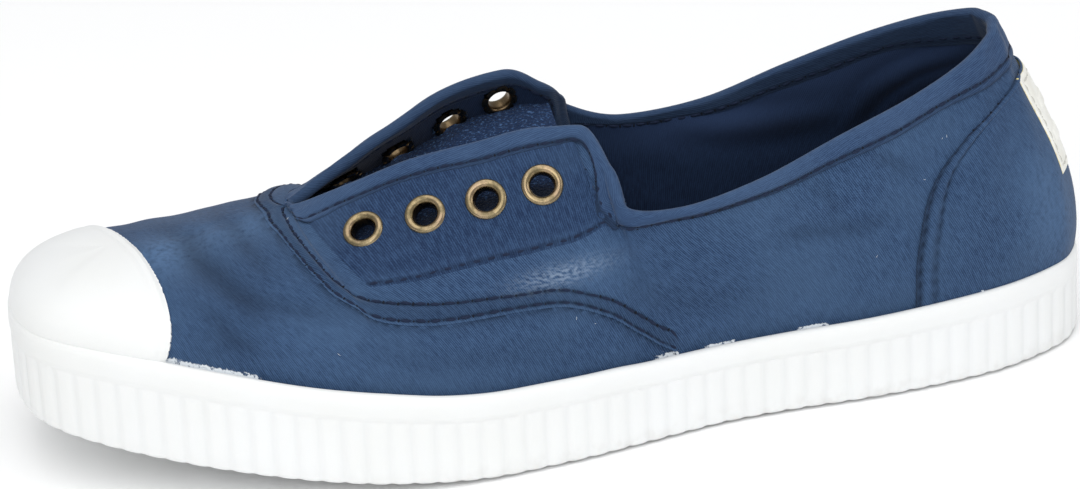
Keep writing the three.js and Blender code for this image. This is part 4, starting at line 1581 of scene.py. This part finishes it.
def make_lint(fluff):
    """A few pale fibres caught on the canvas."""
    rng = np.random.default_rng(23)
    vertices, polygons = [], []
    for number in range(FIBRES):
        w, v = rng.uniform(4.5, 22.0), rng.uniform(0.22, 0.8)
        if number < len(SPECKS):
            w, v = SPECKS[number]
        centre, n = place(w, v), normal(w, v)
        lift = 0.12 if w < 7 else QUARTER_LIFT + QUARTER_STEP
        t = unit(np.cross(n, rng.normal(size=3)))
        b = np.cross(n, t)
        length, bend = rng.uniform(0.3, 0.8), rng.uniform(-0.35, 0.35)
        start = len(vertices)
        for k in range(5):
            s = k / 4 - 0.5
            spine = centre + n * (lift + 0.12 * math.cos(3 * s)) + t * length * s + b * bend * (s * s)
            for angle in (0, 2.1, 4.2):
                vertices.append(spine + FIBRE_RADIUS * (math.cos(angle) * n + math.sin(angle) * b))
        for k in range(4):
            for c in range(3):
                a, d = start + 3 * k + c, start + 3 * k + (c + 1) % 3
                polygons.append((a, d, d + 3, a + 3))
        polygons += [(start + 2, start + 1, start), (start + 12, start + 13, start + 14)]
    return finished(outward(joined("lint", vertices, polygons)), "canvas", fluff)


def make_floor(finish):
    """A wide floor under the shoe."""
    bpy.ops.object.select_all(action="DESELECT")
    bpy.ops.mesh.primitive_plane_add(size=8)
    floor = bpy.context.active_object
    floor.name = "floor"
    floor.data.materials.append(finish)


make_camera()
make_lights()
make_floor(floor_finish())

CLOTHS = {
    # the dark of the threads, their light, and the washed colour
    "washed_canvas": ((0.013, 0.031, 0.078), (0.05, 0.1, 0.2), (0.055, 0.105, 0.195)),
    "facing_canvas": ((0.01, 0.024, 0.065), (0.037, 0.077, 0.165), (0.042, 0.08, 0.155)),
    "binding_tape": ((0.02, 0.042, 0.1), (0.045, 0.088, 0.18), (0.055, 0.1, 0.19)),
    # navy lining cloth, its colours darkened well past the canvas's as painted shade inside the shoe
    "navy_lining_and_shade": ((0.0035, 0.009, 0.028), (0.011, 0.026, 0.066), (0.012, 0.028, 0.068)),
}
canvas = canvas_finish("washed_canvas", *CLOTHS["washed_canvas"])
facing = canvas_finish("facing_canvas", *CLOTHS["facing_canvas"], twill_turn=-6, twill=0.24)
tape = canvas_finish("binding_tape", *CLOTHS["binding_tape"], twill_turn=80)
lining = canvas_finish("navy_lining_and_shade", *CLOTHS["navy_lining_and_shade"])
elastic = elastic_finish()
rubber = rubber_finish()
brass = brass_finish()
label = patch_finish()
thread = thread_finish("navy_thread", (0.013, 0.024, 0.06), (0.005, 0.01, 0.028))
pale_thread = thread_finish("pale_thread", (0.66, 0.65, 0.6), (0.42, 0.41, 0.37))
# near-black finish for the needle holes: painted shade in the holes
hole = thread_finish("needle_hole_shade", (0.006, 0.01, 0.022), (0.003, 0.005, 0.012))
fluff = thread_finish("pale_fibre", (0.8, 0.83, 0.88), (0.5, 0.55, 0.62))

make_vamp_and_lining(canvas, lining)
for side in (1, -1):
    make_quarter(side, canvas)
    make_stay(side, facing)
    make_binding(side, tape)
make_heel_stay(canvas)
make_stitches(thread, hole)
make_foxing(rubber)
make_toe_cap(rubber)
make_patch(label, pale_thread, pale_thread)
make_gusset(elastic)
for name, centre, axis in eyelet_seats():
    make_eyelet(name, centre, axis, brass)
make_insole(lining)
make_lint(fluff)
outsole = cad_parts["outsole"]
outsole.data.materials.clear()
outsole.data.materials.append(rubber)
